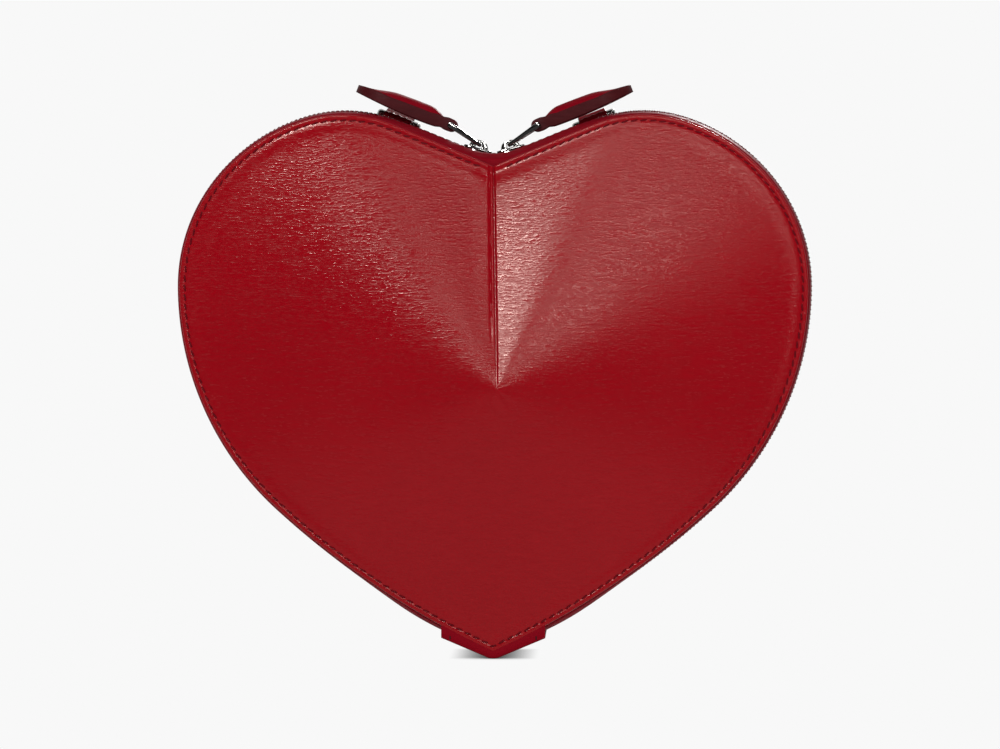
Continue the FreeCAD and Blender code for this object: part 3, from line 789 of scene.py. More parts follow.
class PanelSurface:
    """Front face of the front panel: flat at the seam, a cone to the end of the dart."""

    # Rows of the flat border by mm from the cut edge, rows of the cone by share of the way up
    margin_rows = [0, .04, .14, .3, .5, .8, 1.1, 1.4, 1.6, 1.8, 2.0, 2.2, 2.5, 2.9, 3.4, 3.9, 4.5]
    fold_rows = [.008, .018, .03, .045, .065, .09]
    point_rows = [.96, .975, .988, .995]
    cone_rows = np.concatenate([fold_rows, np.linspace(.12, .94, 34), point_rows])
    # How far the bends of the border are spread out, and the share of the way up where they are
    fold_spread = 20.0 * MM
    fold_spread_level = 0.45

    def __init__(self, outline, leather):
        self.outline = outline
        self.leather = leather
        self.shape = outline.shape

    def rounded(self, foot, soft):
        """The foot line with its bends spread out, both ends kept."""
        passed = np.concatenate([[0.0], np.cumsum(np.linalg.norm(np.diff(foot, axis=0), axis=1))])
        line = np.concatenate([2.0 * foot[0] - foot[:0:-1], foot, 2.0 * foot[-1] - foot[-2::-1]])
        spots = np.concatenate([-passed[:0:-1], passed, 2.0 * passed[-1] - passed[-2::-1]])
        weight = np.gradient(spots) * bump(passed[:, None], soft, spots)
        return weight @ line / weight.sum(1, keepdims=True)

    def ruled(self):
        """Row by row: points in the X-Z plane, distance from the edge and share of the way up."""
        outline = self.outline
        margin = self.shape.seam_margin
        foot = outline.both_sides(outline.rim(-margin))
        reach = np.linalg.norm(outline.apex - foot, axis=1)
        soft_foot = self.rounded(foot, self.fold_spread)
        flat, inset, climb = [], [], []
        for distance in np.array(self.margin_rows) * MM:
            flat.append(outline.both_sides(outline.rim(-distance)))
            inset.append(np.full(len(foot), distance))
            climb.append((distance - margin) / reach)
        for level in self.cone_rows:
            start = foot + (soft_foot - foot) * smooth(0.0, self.fold_spread_level, level)
            flat.append(start + (outline.apex - start) * level)
            inset.append(margin + reach * level)
            climb.append(np.full(len(foot), level))
        return np.array(flat), np.array(inset), np.array(climb)

    def dome(self, climb):
        """Height over the seam, with the fold at the margin and the point at the dart softened."""
        fold, point, crown = 0.03, 0.02, -0.15
        left = 1.0 - climb
        ramp = (climb + np.sqrt(climb ** 2 + fold ** 2)) / 2.0
        ramp = ramp + crown * ramp * np.clip(left, 0.0, 1.0)
        return self.shape.dome_rise * (ramp - (np.sqrt(left ** 2 + point ** 2) - left))

    def seam_relief(self, inset):
        """Lift of the leather along the edge: burnished edge, padded border and stitch groove."""
        leather = self.leather
        burnish = leather.edge_round
        near = np.clip(burnish - inset, 0.0, burnish)
        lift = -(burnish - np.sqrt(burnish ** 2 - near ** 2))
        border = 0.06 * MM * np.sin(np.clip(inset / leather.seam_inset, 0.0, 1.0) * math.pi)
        groove = leather.groove * bump(leather.seam_inset, 0.5 * MM, inset)
        shoulder = 0.08 * MM * bump(leather.seam_inset + 1.9 * MM, 1.3 * MM, inset)
        return lift + border - groove + shoulder

    def dart_relief(self, x, z, side):
        """Lift beside the dart: the left edge laps over, the right one dips under it."""
        leather = self.leather
        share_up = np.clip((z - self.outline.apex[1]) / self.shape.dart_length, 0.0, 1.0)
        beside = np.abs(x - self.outline.apex[0] * (1.0 - share_up))
        lapped = leather.dart_step * np.interp(share_up, [0.0, 0.08, 0.3, 1.0], [0.0, 0.3, 0.5, 1.0])
        lap = lapped * (1.0 - smooth(0.5 * MM, 8.0 * MM, beside))
        soft = 0.3 * MM * np.interp(share_up, [0.0, 0.08], [0.0, 1.0])
        near = np.clip(soft - beside, 0.0, soft)
        burnish = soft - np.sqrt(np.maximum(soft ** 2 - near ** 2, 0.0))
        scored = np.interp(share_up, [0.18, 0.4], [0.0, 1.0])
        crease = 0.3 * MM * scored * bump(leather.dart_crease, 0.26 * MM, beside)
        welt = 0.16 * MM * scored * bump(0.45 * leather.dart_crease, 0.35 * MM, beside)
        lap = lap - burnish - crease + welt
        tuck = 0.35 * MM * np.interp(share_up, [0.0, 0.03, 0.1], [0.0, 0.6, 1.0])
        dip = -tuck * (1.0 - smooth(0.35 * leather.dart_gap, 1.35 * leather.dart_gap, beside))
        slope = np.clip(1.0 - beside / leather.valley_reach, 0.0, 1.0) ** 2
        hollow = leather.valley * np.sin(math.pi * share_up) * slope
        return np.where(side < 0.0, lap, dip) - hollow

    def puckers(self, x, z):
        """Small radial gathers where the dart ends."""
        beside = x - self.outline.apex[0]
        above = z - self.outline.apex[1]
        angle = np.arctan2(above, beside)
        near = bump(4.5 * MM, 3.5 * MM, np.hypot(beside, above))
        return 0.03 * MM * np.sin(9.0 * angle) * near * smooth(-1.2, 0.2, np.cos(angle))

    def face(self, x, z, inset, climb, side):
        lift = self.dome(climb) + self.seam_relief(inset) + self.dart_relief(x, z, side) + self.puckers(x, z)
        return self.outline.rim_y - lift

    def back(self, x, z, climb, side):
        lift = self.dome(climb) + self.dart_relief(x, z, side)
        return self.outline.rim_y - lift + self.leather.panel


def panel_pile(surface):
    """Panel as a closed solid with a slit along the dart, its right edge tucked under."""
    flat, inset, climb = surface.ruled()
    columns = flat.shape[1]
    side = np.where(np.arange(columns) <= columns // 2, 1.0, -1.0)[None, :]
    x, z = flat[..., 0], flat[..., 1]
    face = np.stack([x, surface.face(x, z, inset, climb, side), z], -1)
    back = np.stack([x, surface.back(x, z, climb, side), z], -1)
    narrow = np.clip((1.0 - climb[:, :1]) * 5.0, 0.0, 1.0)
    tucks = np.array([2.6, 1.7, 0.7]) * MM * narrow
    still = np.zeros_like(tucks)
    under = face[:, :1] + np.stack([-tucks, still, still], -1)
    face = np.concatenate([under, face], 1)
    skived = 0.9 * MM
    back = np.concatenate([under + np.array([0.0, skived, 0.0]), back], 1)
    rows, columns = face.shape[:2]
    sheet, rim, ends = shell_faces(rows, columns, False)
    pile = Pile()
    apex = surface.outline.apex
    peak = surface.outline.rim_y - surface.dome(np.array(1.0))
    points = np.concatenate([face.reshape(-1, 3), back.reshape(-1, 3)])
    for y in (peak, peak + surface.leather.panel):
        points = np.vstack([points, [apex[0], y, apex[1]]])
    top, under_top = len(points) - 2, len(points) - 1
    last = (rows - 1) * columns
    back_start = rows * columns
    fan = [[last + c, last + c + 1, top] for c in range(columns - 1)]
    fan += [[back_start + last + c, back_start + last + c + 1, under_top] for c in range(columns - 1)]
    fan += [[last + c, top, under_top, back_start + last + c] for c in (0, columns - 1)]
    outer_rim = rim[:columns - 1]
    faces = sheet + ends + fan + outer_rim
    finishes = [0] * (len(faces) - len(outer_rim)) + [1] * len(outer_rim)
    pile.add(points, faces, finishes)
    return pile


def seam_pile(surface, leather):
    """Stitches of the panel seam."""
    outline = surface.outline
    right = outline.rim(-leather.seam_inset)
    row = outline.both_sides(right)
    foot = outline.both_sides(outline.rim(-outline.shape.seam_margin))
    reach = np.linalg.norm(outline.apex - foot, axis=1)
    climb = (leather.seam_inset - outline.shape.seam_margin) / reach
    side = np.where(np.arange(len(row)) < len(right), 1.0, -1.0)
    inset = np.full(len(row), leather.seam_inset)
    deep = surface.face(row[:, 0], row[:, 1], inset, climb, side)
    proud, sink = 0.12 * MM, 0.34 * MM
    slant = math.radians(-11.0)
    line = np.stack([row[:, 0], deep - proud, row[:, 1]], -1)
    away = np.hypot(row[:, 0], row[:, 1] - outline.notch_z) > 3.6 * MM
    line = line[away]
    ups = np.tile([0.0, -1.0, 0.0], (len(line), 1))
    pile = Pile()
    radius = leather.thread / 2.0
    pile.add(*stitch_row(line, ups, leather.stitch_pitch, leather.stitch_length, radius, sink, slant))
    return pile


class PURSE_OT_panels(bpy.types.Operator):
    """Build the two leather panels with their darts and their seams"""

    bl_idname = "purse.panels"
    bl_label = "Panels"

    def execute(self, context):
        scene = context.scene
        finishes = make_finishes(scene.purse_colours)
        surface = PanelSurface(HeartOutline(scene.purse_shape), scene.purse_leather)
        panel = panel_pile(surface)
        seam = seam_pile(surface, scene.purse_leather)
        hides = [finishes["boarded_leather"], finishes["edge_paint"]]
        sewing = [finishes["red_thread"]]
        for half, flip in HALVES.items():
            scale = (1.0, flip, 1.0)
            hide = panel.mirrored(scale).piece(half + "_panel_hide", hides)
            settle(hide, half + "_half", "red_leather", half + "_panel")
            thread = seam.mirrored(scale).piece(half + "_panel_stitches", sewing, THREAD_EDGE)
            settle(thread, half + "_half", "red_leather")
        return {"FINISHED"}


# Sections of the gusset and the tape: outwards and depth in mm, and share of the swell

GUSSET_SECTION = [
    (-4.3, -13.34, 0.0), (-1.5, -13.34, 0.0), (0.2, -13.34, 0.0), (0.45, -13.26, 0.05), (0.60, -12.95, 0.15),
    (0.78, -12.0, 0.4), (1.02, -10.6, 0.8), (1.16, -9.6, 1.0), (1.20, -9.0, 1.0), (1.20, -8.0, 1.0),
    (1.12, -7.1, 1.0), (1.04, -6.75, 1.0), (1.10, -6.5, 1.0), (1.15, -6.1, 1.0), (1.10, -5.6, 1.0),
    (0.95, -5.3, 1.0), (0.70, -5.2, 1.0), (0.30, -5.2, 1.0), (0.08, -5.3, 1.0), (0.0, -5.6, 1.0),
    (0.0, -8.5, 1.0), (-0.05, -9.4, 0.9), (-0.40, -11.2, 0.4), (-0.62, -11.8, 0.1), (-0.85, -11.98, 0.0),
    (-2.2, -12.0, 0.0), (-4.3, -12.0, 0.0),
]
TAPE_SECTION = [
    (-0.12, -9.0, 0.9), (-0.10, -6.5, 0.8), (-0.09, -5.0, 0.5), (-0.08, -4.0, 0.2), (-0.08, -3.0, 0.1),
    (-0.08, -0.7, 0.1), (-0.12, -0.5, 0.1), (-0.35, -0.4, 0.1), (-0.58, -0.5, 0.1), (-0.62, -0.8, 0.1),
    (-0.62, -3.0, 0.1), (-0.62, -5.0, 0.5), (-0.62, -9.0, 0.9),
]
RING_STEP = 1.5 * MM


def gusset_seam_pile(outline, leather):
    """Stitches in the groove of the gusset, which hold the zip tape."""
    clear_of_tip = 20.0 * MM
    groove_out, groove_y = 1.14 * MM, -6.75 * MM
    distances = np.linspace(-outline.lane_end + clear_of_tip, outline.lane_end - clear_of_tip, 700)
    base, ways = outline.lane(distances)
    at = base + ways * (groove_out + outline.swell(distances))[:, None]
    line = np.stack([at[:, 0], np.full(len(at), groove_y), at[:, 1]], -1)
    ups = np.stack([ways[:, 0], np.zeros(len(at)), ways[:, 1]], -1)
    slant = math.radians(8.0)
    pile = Pile()
    pile.add(*stitch_row(line, ups, 2.7 * MM, 2.1 * MM, 0.42 * leather.thread, 0.3 * MM, slant))
    return pile


class PURSE_OT_gussets(bpy.types.Operator):
    """Build the two gusset walls and the stitches that hold the zip tape"""

    bl_idname = "purse.gussets"
    bl_label = "Gussets"

    def execute(self, context):
        scene = context.scene
        finishes = make_finishes(scene.purse_colours)
        outline = HeartOutline(scene.purse_shape)
        wall = Pile()
        wall.add(*swept_ring(outline, GUSSET_SECTION, RING_STEP))
        sewn = gusset_seam_pile(outline, scene.purse_leather)
        sewing = [finishes["red_thread"]]
        for half, flip in HALVES.items():
            scale = (1.0, flip, 1.0)
            gusset = wall.mirrored(scale).piece(half + "_gusset_wall", [finishes["gusset_leather"]])
            settle(gusset, half + "_half", "red_leather", half + "_gusset")
            thread = sewn.mirrored(scale).piece(half + "_gusset_stitches", sewing, THREAD_EDGE)
            settle(thread, half + "_half", "red_leather")
        return {"FINISHED"}


def coil_pile(outline, zipper, phase):
    """Nylon wire wound in flat turns along the lane, its heads over the middle of the zip."""
    end = outline.lane_at_x(zipper.coil_end)
    turns = int(2.0 * end / zipper.coil_pitch)
    per_turn = 14
    count = turns * per_turn
    angle = 2.0 * math.pi * np.arange(count) / per_turn
    distance = -end + (np.arange(count) / per_turn + phase) * zipper.coil_pitch
    base, ways = outline.lane(np.clip(distance, -end, end))
    squared = 0.62
    axis_out, half_height = 0.96 * MM, 0.68 * MM
    axis_y, half_width = -1.36 * MM, 1.52 * MM
    out = axis_out + half_height * np.sign(np.sin(angle)) * np.abs(np.sin(angle)) ** squared
    deep = axis_y - half_width * np.sign(np.cos(angle)) * np.abs(np.cos(angle)) ** squared
    flat = base + ways * out[:, None]
    wire = np.stack([flat[:, 0], deep, flat[:, 1]], -1)
    run = np.gradient(wire, axis=0)
    run /= np.linalg.norm(run, axis=1)[:, None]
    lane_run = np.stack([ways[:, 1], np.zeros(count), -ways[:, 0]], -1)
    across = np.cross(run, lane_run)
    across /= np.linalg.norm(across, axis=1)[:, None]
    level = np.cross(across, run)
    around = np.linspace(0.0, 2.0 * math.pi, 6, endpoint=False)
    radius = zipper.coil_wire / 2.0
    ring = across[:, None] * np.cos(around)[None, :, None] + level[:, None] * np.sin(around)[None, :, None]
    points = wire[:, None] + radius * ring
    pile = Pile()
    pile.add(points, grid_faces(count, len(around), False, True) + end_caps(count, len(around)))
    return pile


class PURSE_OT_zip(bpy.types.Operator):
    """Build the woven tapes and the nylon coils of the zip"""

    bl_idname = "purse.zip"
    bl_label = "Zip"

    def execute(self, context):
        scene = context.scene
        finishes = make_finishes(scene.purse_colours)
        outline = HeartOutline(scene.purse_shape)
        tape = Pile()
        tape.add(*swept_ring(outline, TAPE_SECTION, RING_STEP))
        for half, flip in HALVES.items():
            scale = (1.0, flip, 1.0)
            woven = tape.mirrored(scale).piece(half + "_zip_tape_weave", [finishes["zip_tape_weave"]])
            settle(woven, half + "_half", "zip_tape", half + "_zip_tape")
            phase = 0.0 if half == "front" else 0.5
            coil = coil_pile(outline, scene.purse_zip, phase).mirrored(scale)
            wound = coil.piece(half + "_zip_coil_turns", [finishes["coil_nylon"]], THREAD_EDGE)
            settle(wound, half + "_half", "zip_coil", half + "_zip_coil")
        return {"FINISHED"}


# Zip furniture, drawn for the right side in each piece's own frame

class SliderFrame:
    """Where the right slider sits on the ramp beside the notch."""

    tape_top = -0.05 * MM
    roof_tail = 2.25 * MM
    nose_lift = 1.2 * MM
    plate = 0.9 * MM

    def __init__(self, outline, zipper):
        self.length = zipper.slider_length
        self.roof_nose = self.roof_tail + self.nose_lift
        level = outline.ramp_radius + self.roof_nose + self.plate
        reach = math.hypot(level, self.length / 2.0)
        nose_angle = math.asin((outline.ramp_centre[0] - zipper.nose_gap / 2.0) / reach)
        self.tilt = nose_angle - math.atan2(self.length / 2.0, level)
        up = heading(math.pi / 2.0 + self.tilt)
        self.origin = outline.ramp_centre + up * outline.ramp_radius
        self.roof_tilt = math.atan2(self.nose_lift, self.length)
        middle = (self.roof_tail + self.roof_nose) / 2.0 + self.plate / math.cos(self.roof_tilt)
        self.bridge_origin = self.origin + up * middle

    def rise(self, x):
        """How much higher the top plate stands at x than at its tail."""
        return self.nose_lift * (self.length / 2.0 - x) / self.length


def shield(half, nose, tail, corner):
    """Plan of a slider plate, wide at the nose, with rounded corners."""
    corners = [(-half, -nose), (half, -tail), (half, tail), (-half, nose)]
    starts = [math.pi, 1.5 * math.pi, 0.0, 0.5 * math.pi]
    points = []
    for (x, y), start in zip(corners, starts):
        centre = np.array([x - math.copysign(corner, x), y - math.copysign(corner, y)])
        for angle in np.linspace(start, start + math.pi / 2.0, 6):
            points.append(centre + corner * heading(angle))
    return np.array(points)


def slider_pile(place):
    """Top and bottom plates, side walls and the post between the two coils."""
    half = place.length / 2.0
    floor = place.tape_top - 0.95 * MM
    wall_low = place.tape_top + 0.5 * MM
    plate_round = 0.28 * MM
    plan = shield(half, 4.85 * MM, 4.4 * MM, 1.6 * MM)
    low = [(x, y, place.roof_tail + place.rise(x)) for x, y in plan]
    high = [(x, y, z + place.plate) for x, y, z in low]
    solids = [prism(plan, floor - place.plate, floor, "z", plate_round), lofted([low, high], plate_round)]
    nose, tail = -half + 1.3 * MM, half - 1.2 * MM
    for side in (-1.0, 1.0):
        foot = [(nose, 4.78 * MM), (tail, 4.33 * MM), (tail, 3.5 * MM), (nose, 3.75 * MM)]
        foot = [(x, y * side) for x, y in foot]
        bottom = [(x, y, wall_low + place.rise(x)) for x, y in foot]
        top = [(x, y, place.roof_tail + place.rise(x) + 0.1 * MM) for x, y in foot]
        solids.append(lofted([bottom, top], 0.2 * MM))
        lip = [(x, y, floor - 0.1 * MM) for x, y in foot]
        lip_top = [(x, y, floor + 0.75 * MM) for x, y in foot]
        solids.append(lofted([lip, lip_top], 0.18 * MM))
    post_nose, post_tail = -half + 0.3 * MM, -half + 2.2 * MM
    post = [(post_nose, -0.35 * MM), (post_tail, -0.1 * MM), (post_tail, 0.1 * MM), (post_nose, 0.35 * MM)]
    solids.append(prism(post, floor, place.roof_tail + 0.9 * MM, "z", 0.08 * MM))
    pile = Pile()
    for solid in solids:
        pile.put(solid, place.origin, place.tilt)
    return pile


def bridge_pile(place):
    """Arch on the slider that the link is hung in."""
    outer = [(-3.3, 0.0), (-3.05, 0.9), (-2.55, 1.75), (-1.8, 2.3), (-0.9, 2.55), (0.0, 2.62)]
    inner = [(-1.0, 0.0), (-1.0, 0.75), (-0.95, 1.25), (-0.8, 1.55), (-0.45, 1.76), (0.0, 1.83)]
    outer += [(-x, z) for x, z in outer[-2::-1]]
    inner += [(-x, z) for x, z in inner[-2::-1]]
    half = 1.25 * MM
    rings = []
    for (x_out, z_out), (x_in, z_in) in zip(outer, inner):
        rings.append([
            (x_out * MM, -half, z_out * MM), (x_out * MM, half, z_out * MM),
            (x_in * MM, half, z_in * MM), (x_in * MM, -half, z_in * MM),
        ])
    pile = Pile()
    pile.put(lofted(rings, 0.22 * MM), place.bridge_origin, place.tilt - place.roof_tilt)
    return pile


def link_pile(zipper, pin, tilt):
    """Flat metal loop, narrow in the bridge and wide round the leather."""
    length = zipper.link_length
    end = length / MM
    pin_radius, bar_radius, rod_round = 0.62 * MM, 0.88 * MM, 0.1 * MM
    stations = [(-0.7, 1.45, 2.5, 0.50), (0.0, 1.45, 2.65, 0.66), (3.5, 2.2, 3.45, 0.74)]
    stations += [(7.5, 3.35, 4.55, 0.86), (end, 4.2, 5.35, 0.98), (end + 1.0, 4.25, 5.3, 0.86)]
    pile = Pile()
    for side in (-1.0, 1.0):
        rings = []
        for x, inner, outer, thick in stations:
            ring = [(inner, -thick), (outer, -thick), (outer, thick), (inner, thick)]
            rings.append([(x * MM, side * y * MM, z * MM) for y, z in ring])
        pile.put(lofted(rings, 0.2 * MM), pin, tilt)
    pile.put(rod(pin_radius, -2.3 * MM, 2.3 * MM, rod_round), pin, tilt)
    points, faces = rod(bar_radius, -4.8 * MM, 4.8 * MM, rod_round)
    pile.put((np.array(points) + np.array([length, 0.0, 0.0]), faces), pin, tilt)
    return pile


def pull_pile(zipper, bar, tilt):
    """Padded leather pull in mm: painted sides, a domed face and the loop round the link."""
    length = zipper.pull_length / MM
    dome = zipper.pull_dome / MM
    loop = 2.15
    tip_start = 23.0
    bend = np.linspace(0.06, 1.0, 7) * math.pi / 2.0
    stations = [(-loop * math.cos(angle), loop * math.sin(angle)) for angle in bend]
    tip = tip_start + (length - tip_start) * np.sin(np.linspace(0.1, 1.54, 12))
    for x in np.concatenate([np.linspace(0.8, tip_start, 26), tip]):
        level = loop + 0.0538 * x - 0.00236 * x * x
        waist = 1.0 - 0.20 * math.exp(-(((x - 3.4) / 1.1) ** 2))
        stations.append((x, level * waist))
    rings = []
    for x, level in stations:
        width = float(np.interp(x, [-loop, 2.5, tip_start], [3.4, 3.45, 6.5]))
        width *= math.sqrt(max(1.0 - (max(x - tip_start, 0.0) / (length - tip_start + 0.03)) ** 2, 0.004))
        hump = float(smooth(3.0, 8.5, x) * (1.0 - smooth(20.0, 30.5, x)))
        top, base = level - 0.85 * hump, -level
        soft = min(0.35, 0.3 * width)
        spread = width - soft
        side = [(spread, base), (width, base + soft), (width + 0.06, (base + top) / 2.0)]
        side += [(width, top - soft), (spread, top)]
        ring = list(side)
        for t in np.linspace(0.92, -0.92, 13):
            crown = dome * hump * (1.0 - abs(t) ** 2.4) ** 0.85
            ring.append((spread * t, top + 0.05 + crown))
        ring += [(-y, z) for y, z in reversed(side)]
        for t in np.linspace(-0.75, 0.75, 5):
            ring.append((spread * t, base - 0.12 * hump * (1.0 - t * t)))
        rings.append([(x * MM, y * MM, z * MM) for y, z in ring])
    rings = np.array(rings)
    count = rings.shape[1]
    faces = grid_faces(len(rings), count, False, True)
    painted = (0, 1, 2, 3, 18, 19, 20, 21)
    finishes = [1 if index % count in painted else 0 for index in range(len(faces))]
    pile = Pile()
    pile.add(placed(rings, bar, tilt), faces + end_caps(len(rings), count), finishes + [0, 1])
    return pile


def anchor(joint):
    """Place of a joint of the right side in the X-Z plane."""
    return np.array(joints["right_" + joint]["pos_m"])[[0, 2]]


class PURSE_OT_sliders(bpy.types.Operator):
    """Build the two zip sliders with their bridges"""

    bl_idname = "purse.sliders"
    bl_label = "Sliders"

    def execute(self, context):
        scene = context.scene
        finishes = make_finishes(scene.purse_colours)
        place = SliderFrame(HeartOutline(scene.purse_shape), scene.purse_zip)
        slider = slider_pile(place)
        bridge = bridge_pile(place)
        for side, flip in SIDES.items():
            scale = (flip, 1.0, 1.0)
            plates = slider.mirrored(scale).piece(side + "_slider_plates", [finishes["plated_metal"]])
            settle(plates, side + "_slider", "metal", side + "_slider_body")
            arch = bridge.mirrored(scale).piece(side + "_slider_arch", [finishes["plated_metal"]])
            settle(arch, side + "_slider", "metal", side + "_slider_bridge")
        return {"FINISHED"}


class PURSE_OT_pulls(bpy.types.Operator):
    """Build the metal links and the padded leather pulls"""

    bl_idname = "purse.pulls"
    bl_label = "Links and pulls"

    def execute(self, context):
        scene = context.scene
        finishes = make_finishes(scene.purse_colours)
        zipper = scene.purse_zip
        pin, bar = anchor("link_swing"), anchor("pull_swing")
        place = SliderFrame(HeartOutline(scene.purse_shape), zipper)
        link = link_pile(zipper, pin, bearing(pin, bar))
        pull = pull_pile(zipper, bar, place.tilt - zipper.pull_fall)
        hides = [finishes["gusset_leather"], finishes["edge_paint"]]
        for side, flip in SIDES.items():
            scale = (flip, 1.0, 1.0)
            loop = link.mirrored(scale).piece(side + "_link_loop", [finishes["plated_metal"]])
            settle(loop, side + "_link", "metal", side + "_pull_link")
            pad = pull.mirrored(scale).piece(side + "_pull_pad", hides)
            settle(pad, side + "_pull", "red_leather", side + "_pull_leather", side + "_pull_core")
        return {"FINISHED"}


# Tab over the tip and strap tabs

def tab_outer(leather, x):
    """Underside of the tab at a distance from the middle."""
    far = np.abs(x)
    bend = leather.tab_round * math.sin(leather.tab_slope)
    curve = leather.tab_round - np.sqrt(np.maximum(leather.tab_round ** 2 - np.minimum(far, bend) ** 2, 0.0))
    return curve + np.maximum(far - bend, 0.0) * math.tan(leather.tab_slope)


def tab_pile(outline, leather):
    """One leather saddle under the tip, turned up to the edges of both panels."""
    right = outline.rim(-0.3 * MM)
    lower = right[right[:, 1] < outline.apex[1]]
    stations = np.concatenate([np.linspace(0.0, 2.6, 9), np.linspace(3.2, leather.tab_reach / MM, 24)]) * MM
    stations = np.concatenate([-stations[:0:-1], stations])
    deep = -outline.rim_y
    thick = leather.tab_leather / math.cos(leather.tab_slope)
    flanks = np.linspace(4.0, 13.2, 12)
    middle = np.concatenate([-flanks[::-1], np.linspace(-3.6, 3.6, 19), flanks]) * MM
    rings = []
    for x in stations:
        base = float(tab_outer(leather, x))
        edge = float(np.interp(-abs(x), -lower[:, 0], lower[:, 1])) - base
        lift = min(edge, 1.2 * MM)
        turned = [(deep - 0.06 * MM, edge), (deep + 0.03 * MM, edge - 0.1 * MM)]
        turned += [(deep + 0.1 * MM, 0.6 * edge), (deep + 0.06 * MM, 0.75 * lift)]
        turned += [(deep - 0.16 * MM, 0.38 * lift), (deep - 0.55 * MM, 0.12 * lift), (deep - 1.1 * MM, 0.0)]
        inside = [(deep - 1.45 * MM, thick), (deep - 1.45 * MM, edge)]
        ring = [(-y, z) for y, z in turned]
        ring += [(y, 0.0) for y in middle]
        ring += turned[::-1] + inside[::-1]
        ring += [(y, thick) for y in middle[::-1]]
        ring += [(-y, z) for y, z in inside]
        rings.append([(x, y, base + z) for y, z in ring])
    rings = np.array(rings)
    count = rings.shape[1]
    faces = grid_faces(len(rings), count, False, True)
    pile = Pile()
    pile.add(rings, faces + end_caps(len(rings), count), [0] * len(faces) + [1, 1])
    return pile


def tack_pile(outline, leather):
    """Short stitches that hold the ends of the tab."""
    pile = Pile()
    for side in (-1.0, 1.0):
        x = side * (leather.tab_reach - 3.0 * MM)
        z = float(tab_outer(leather, x)) + 1.5 * MM
        for face in (-1.0, 1.0):
            y = face * (-outline.rim_y + 0.06 * MM)
            line = np.array([(x, y, z - 1.1 * MM), (x, y, z), (x, y, z + 1.1 * MM)])
            ups = np.tile([0.0, face, 0.0], (3, 1))
            pile.add(*stitch_row(line, ups, 2.0 * MM, 1.5 * MM, leather.thread / 2.0, 0.3 * MM))
    return pile


class PURSE_OT_tip_tab(bpy.types.Operator):
    """Build the leather tab over the tip, which is the hinge of the two halves"""

    bl_idname = "purse.tip_tab"
    bl_label = "Tip tab"

    def execute(self, context):
        scene = context.scene
        finishes = make_finishes(scene.purse_colours)
        outline = HeartOutline(scene.purse_shape)
        leather = scene.purse_leather
        hides = [finishes["gusset_leather"], finishes["edge_paint"]]
        tab = tab_pile(outline, leather).piece("tip_tab_saddle", hides)
        # The tacks are drawn in the dark edge paint: painted shade of their stitch holes
        tacks = tack_pile(outline, leather).piece("tip_tab_tacks", [finishes["edge_paint"]], THREAD_EDGE)
        for piece in (tab, tacks):
            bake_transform(piece)
        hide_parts("front_tip_tab", "back_tip_tab")
        return {"FINISHED"}


def strap_tab_piles(leather):
    """Leather folded round the bar of the right ring, and the stitches that hold it."""
    axis = joints["right_ring_swing"]["axis"]
    bar = np.array(joints["right_ring_swing"]["pos_m"])
    tilt = math.atan2(axis[2], axis[0])
    bar_y, bar_level, fold_radius = 17.6, 1.15, 1.82
    half_width, thickness, top_level = 5.0, 1.1, 2.26
    path = [(7.2, 0.55), (9.5, 0.58), (12.0, 0.60), (14.4, 0.52), (15.6, 0.2), (16.4, -0.35), (17.4, -0.66)]
    for angle in np.radians(np.linspace(-80.0, 95.0, 14)):
        path.append(tuple(np.array([bar_y, bar_level]) + fold_radius * heading(angle)))
    path += [(16.2, 2.62), (15.2, 2.1), (14.0, 1.8), (12.0, 1.72), (9.5, 1.70), (7.2, 1.67)]
    origin = bar[[0, 2]] - heading(tilt + math.pi / 2.0) * bar_level * MM
    points, faces, finish = strip(np.array(path) * MM, half_width * MM, thickness * MM)
    tab = Pile()
    tab.add(placed(points, origin, tilt), faces, finish)
    sewn = Pile()
    for y in (8.6, 13.4):
        line = np.array([(x, y, top_level) for x in (-4.0, -2.0, 0.0, 2.0, 4.0)]) * MM
        ups = np.tile([0.0, 0.0, 1.0], (len(line), 1))
        row = stitch_row(line, ups, 2.5 * MM, 2.0 * MM, 0.45 * leather.thread, 0.3 * MM)
        sewn.put(row, origin, tilt)
    return tab, sewn


class PURSE_OT_strap_tabs(bpy.types.Operator):
    """Build the folded tabs that hold the strap rings, and finish the rings"""

    bl_idname = "purse.strap_tabs"
    bl_label = "Strap tabs and rings"

    def execute(self, context):
        scene = context.scene
        finishes = make_finishes(scene.purse_colours)
        tab, sewn = strap_tab_piles(scene.purse_leather)
        hides = [finishes["gusset_leather"], finishes["edge_paint"]]
        sewing = [finishes["red_thread"]]
        for side, flip in SIDES.items():
            scale = (flip, 1.0, 1.0)
            fold = tab.mirrored(scale).piece(side + "_strap_tab_fold", hides)
            settle(fold, "back_half", "red_leather", side + "_strap_tab")
            thread = sewn.mirrored(scale).piece(side + "_strap_tab_stitches", sewing, THREAD_EDGE)
            settle(thread, "back_half", "red_leather")
            finish_node(side + "_strap_ring", finishes["plated_metal"])
        return {"FINISHED"}


# Inside

def cloth_waves(x, z):
    """Slack of the lining, laid over its board."""
    waves = np.sin(95.0 * x + 40.0 * z) + np.sin(70.0 * z - 55.0 * x + 1.3) + np.sin(160.0 * x + 2.0)
    return 0.18 * MM * waves


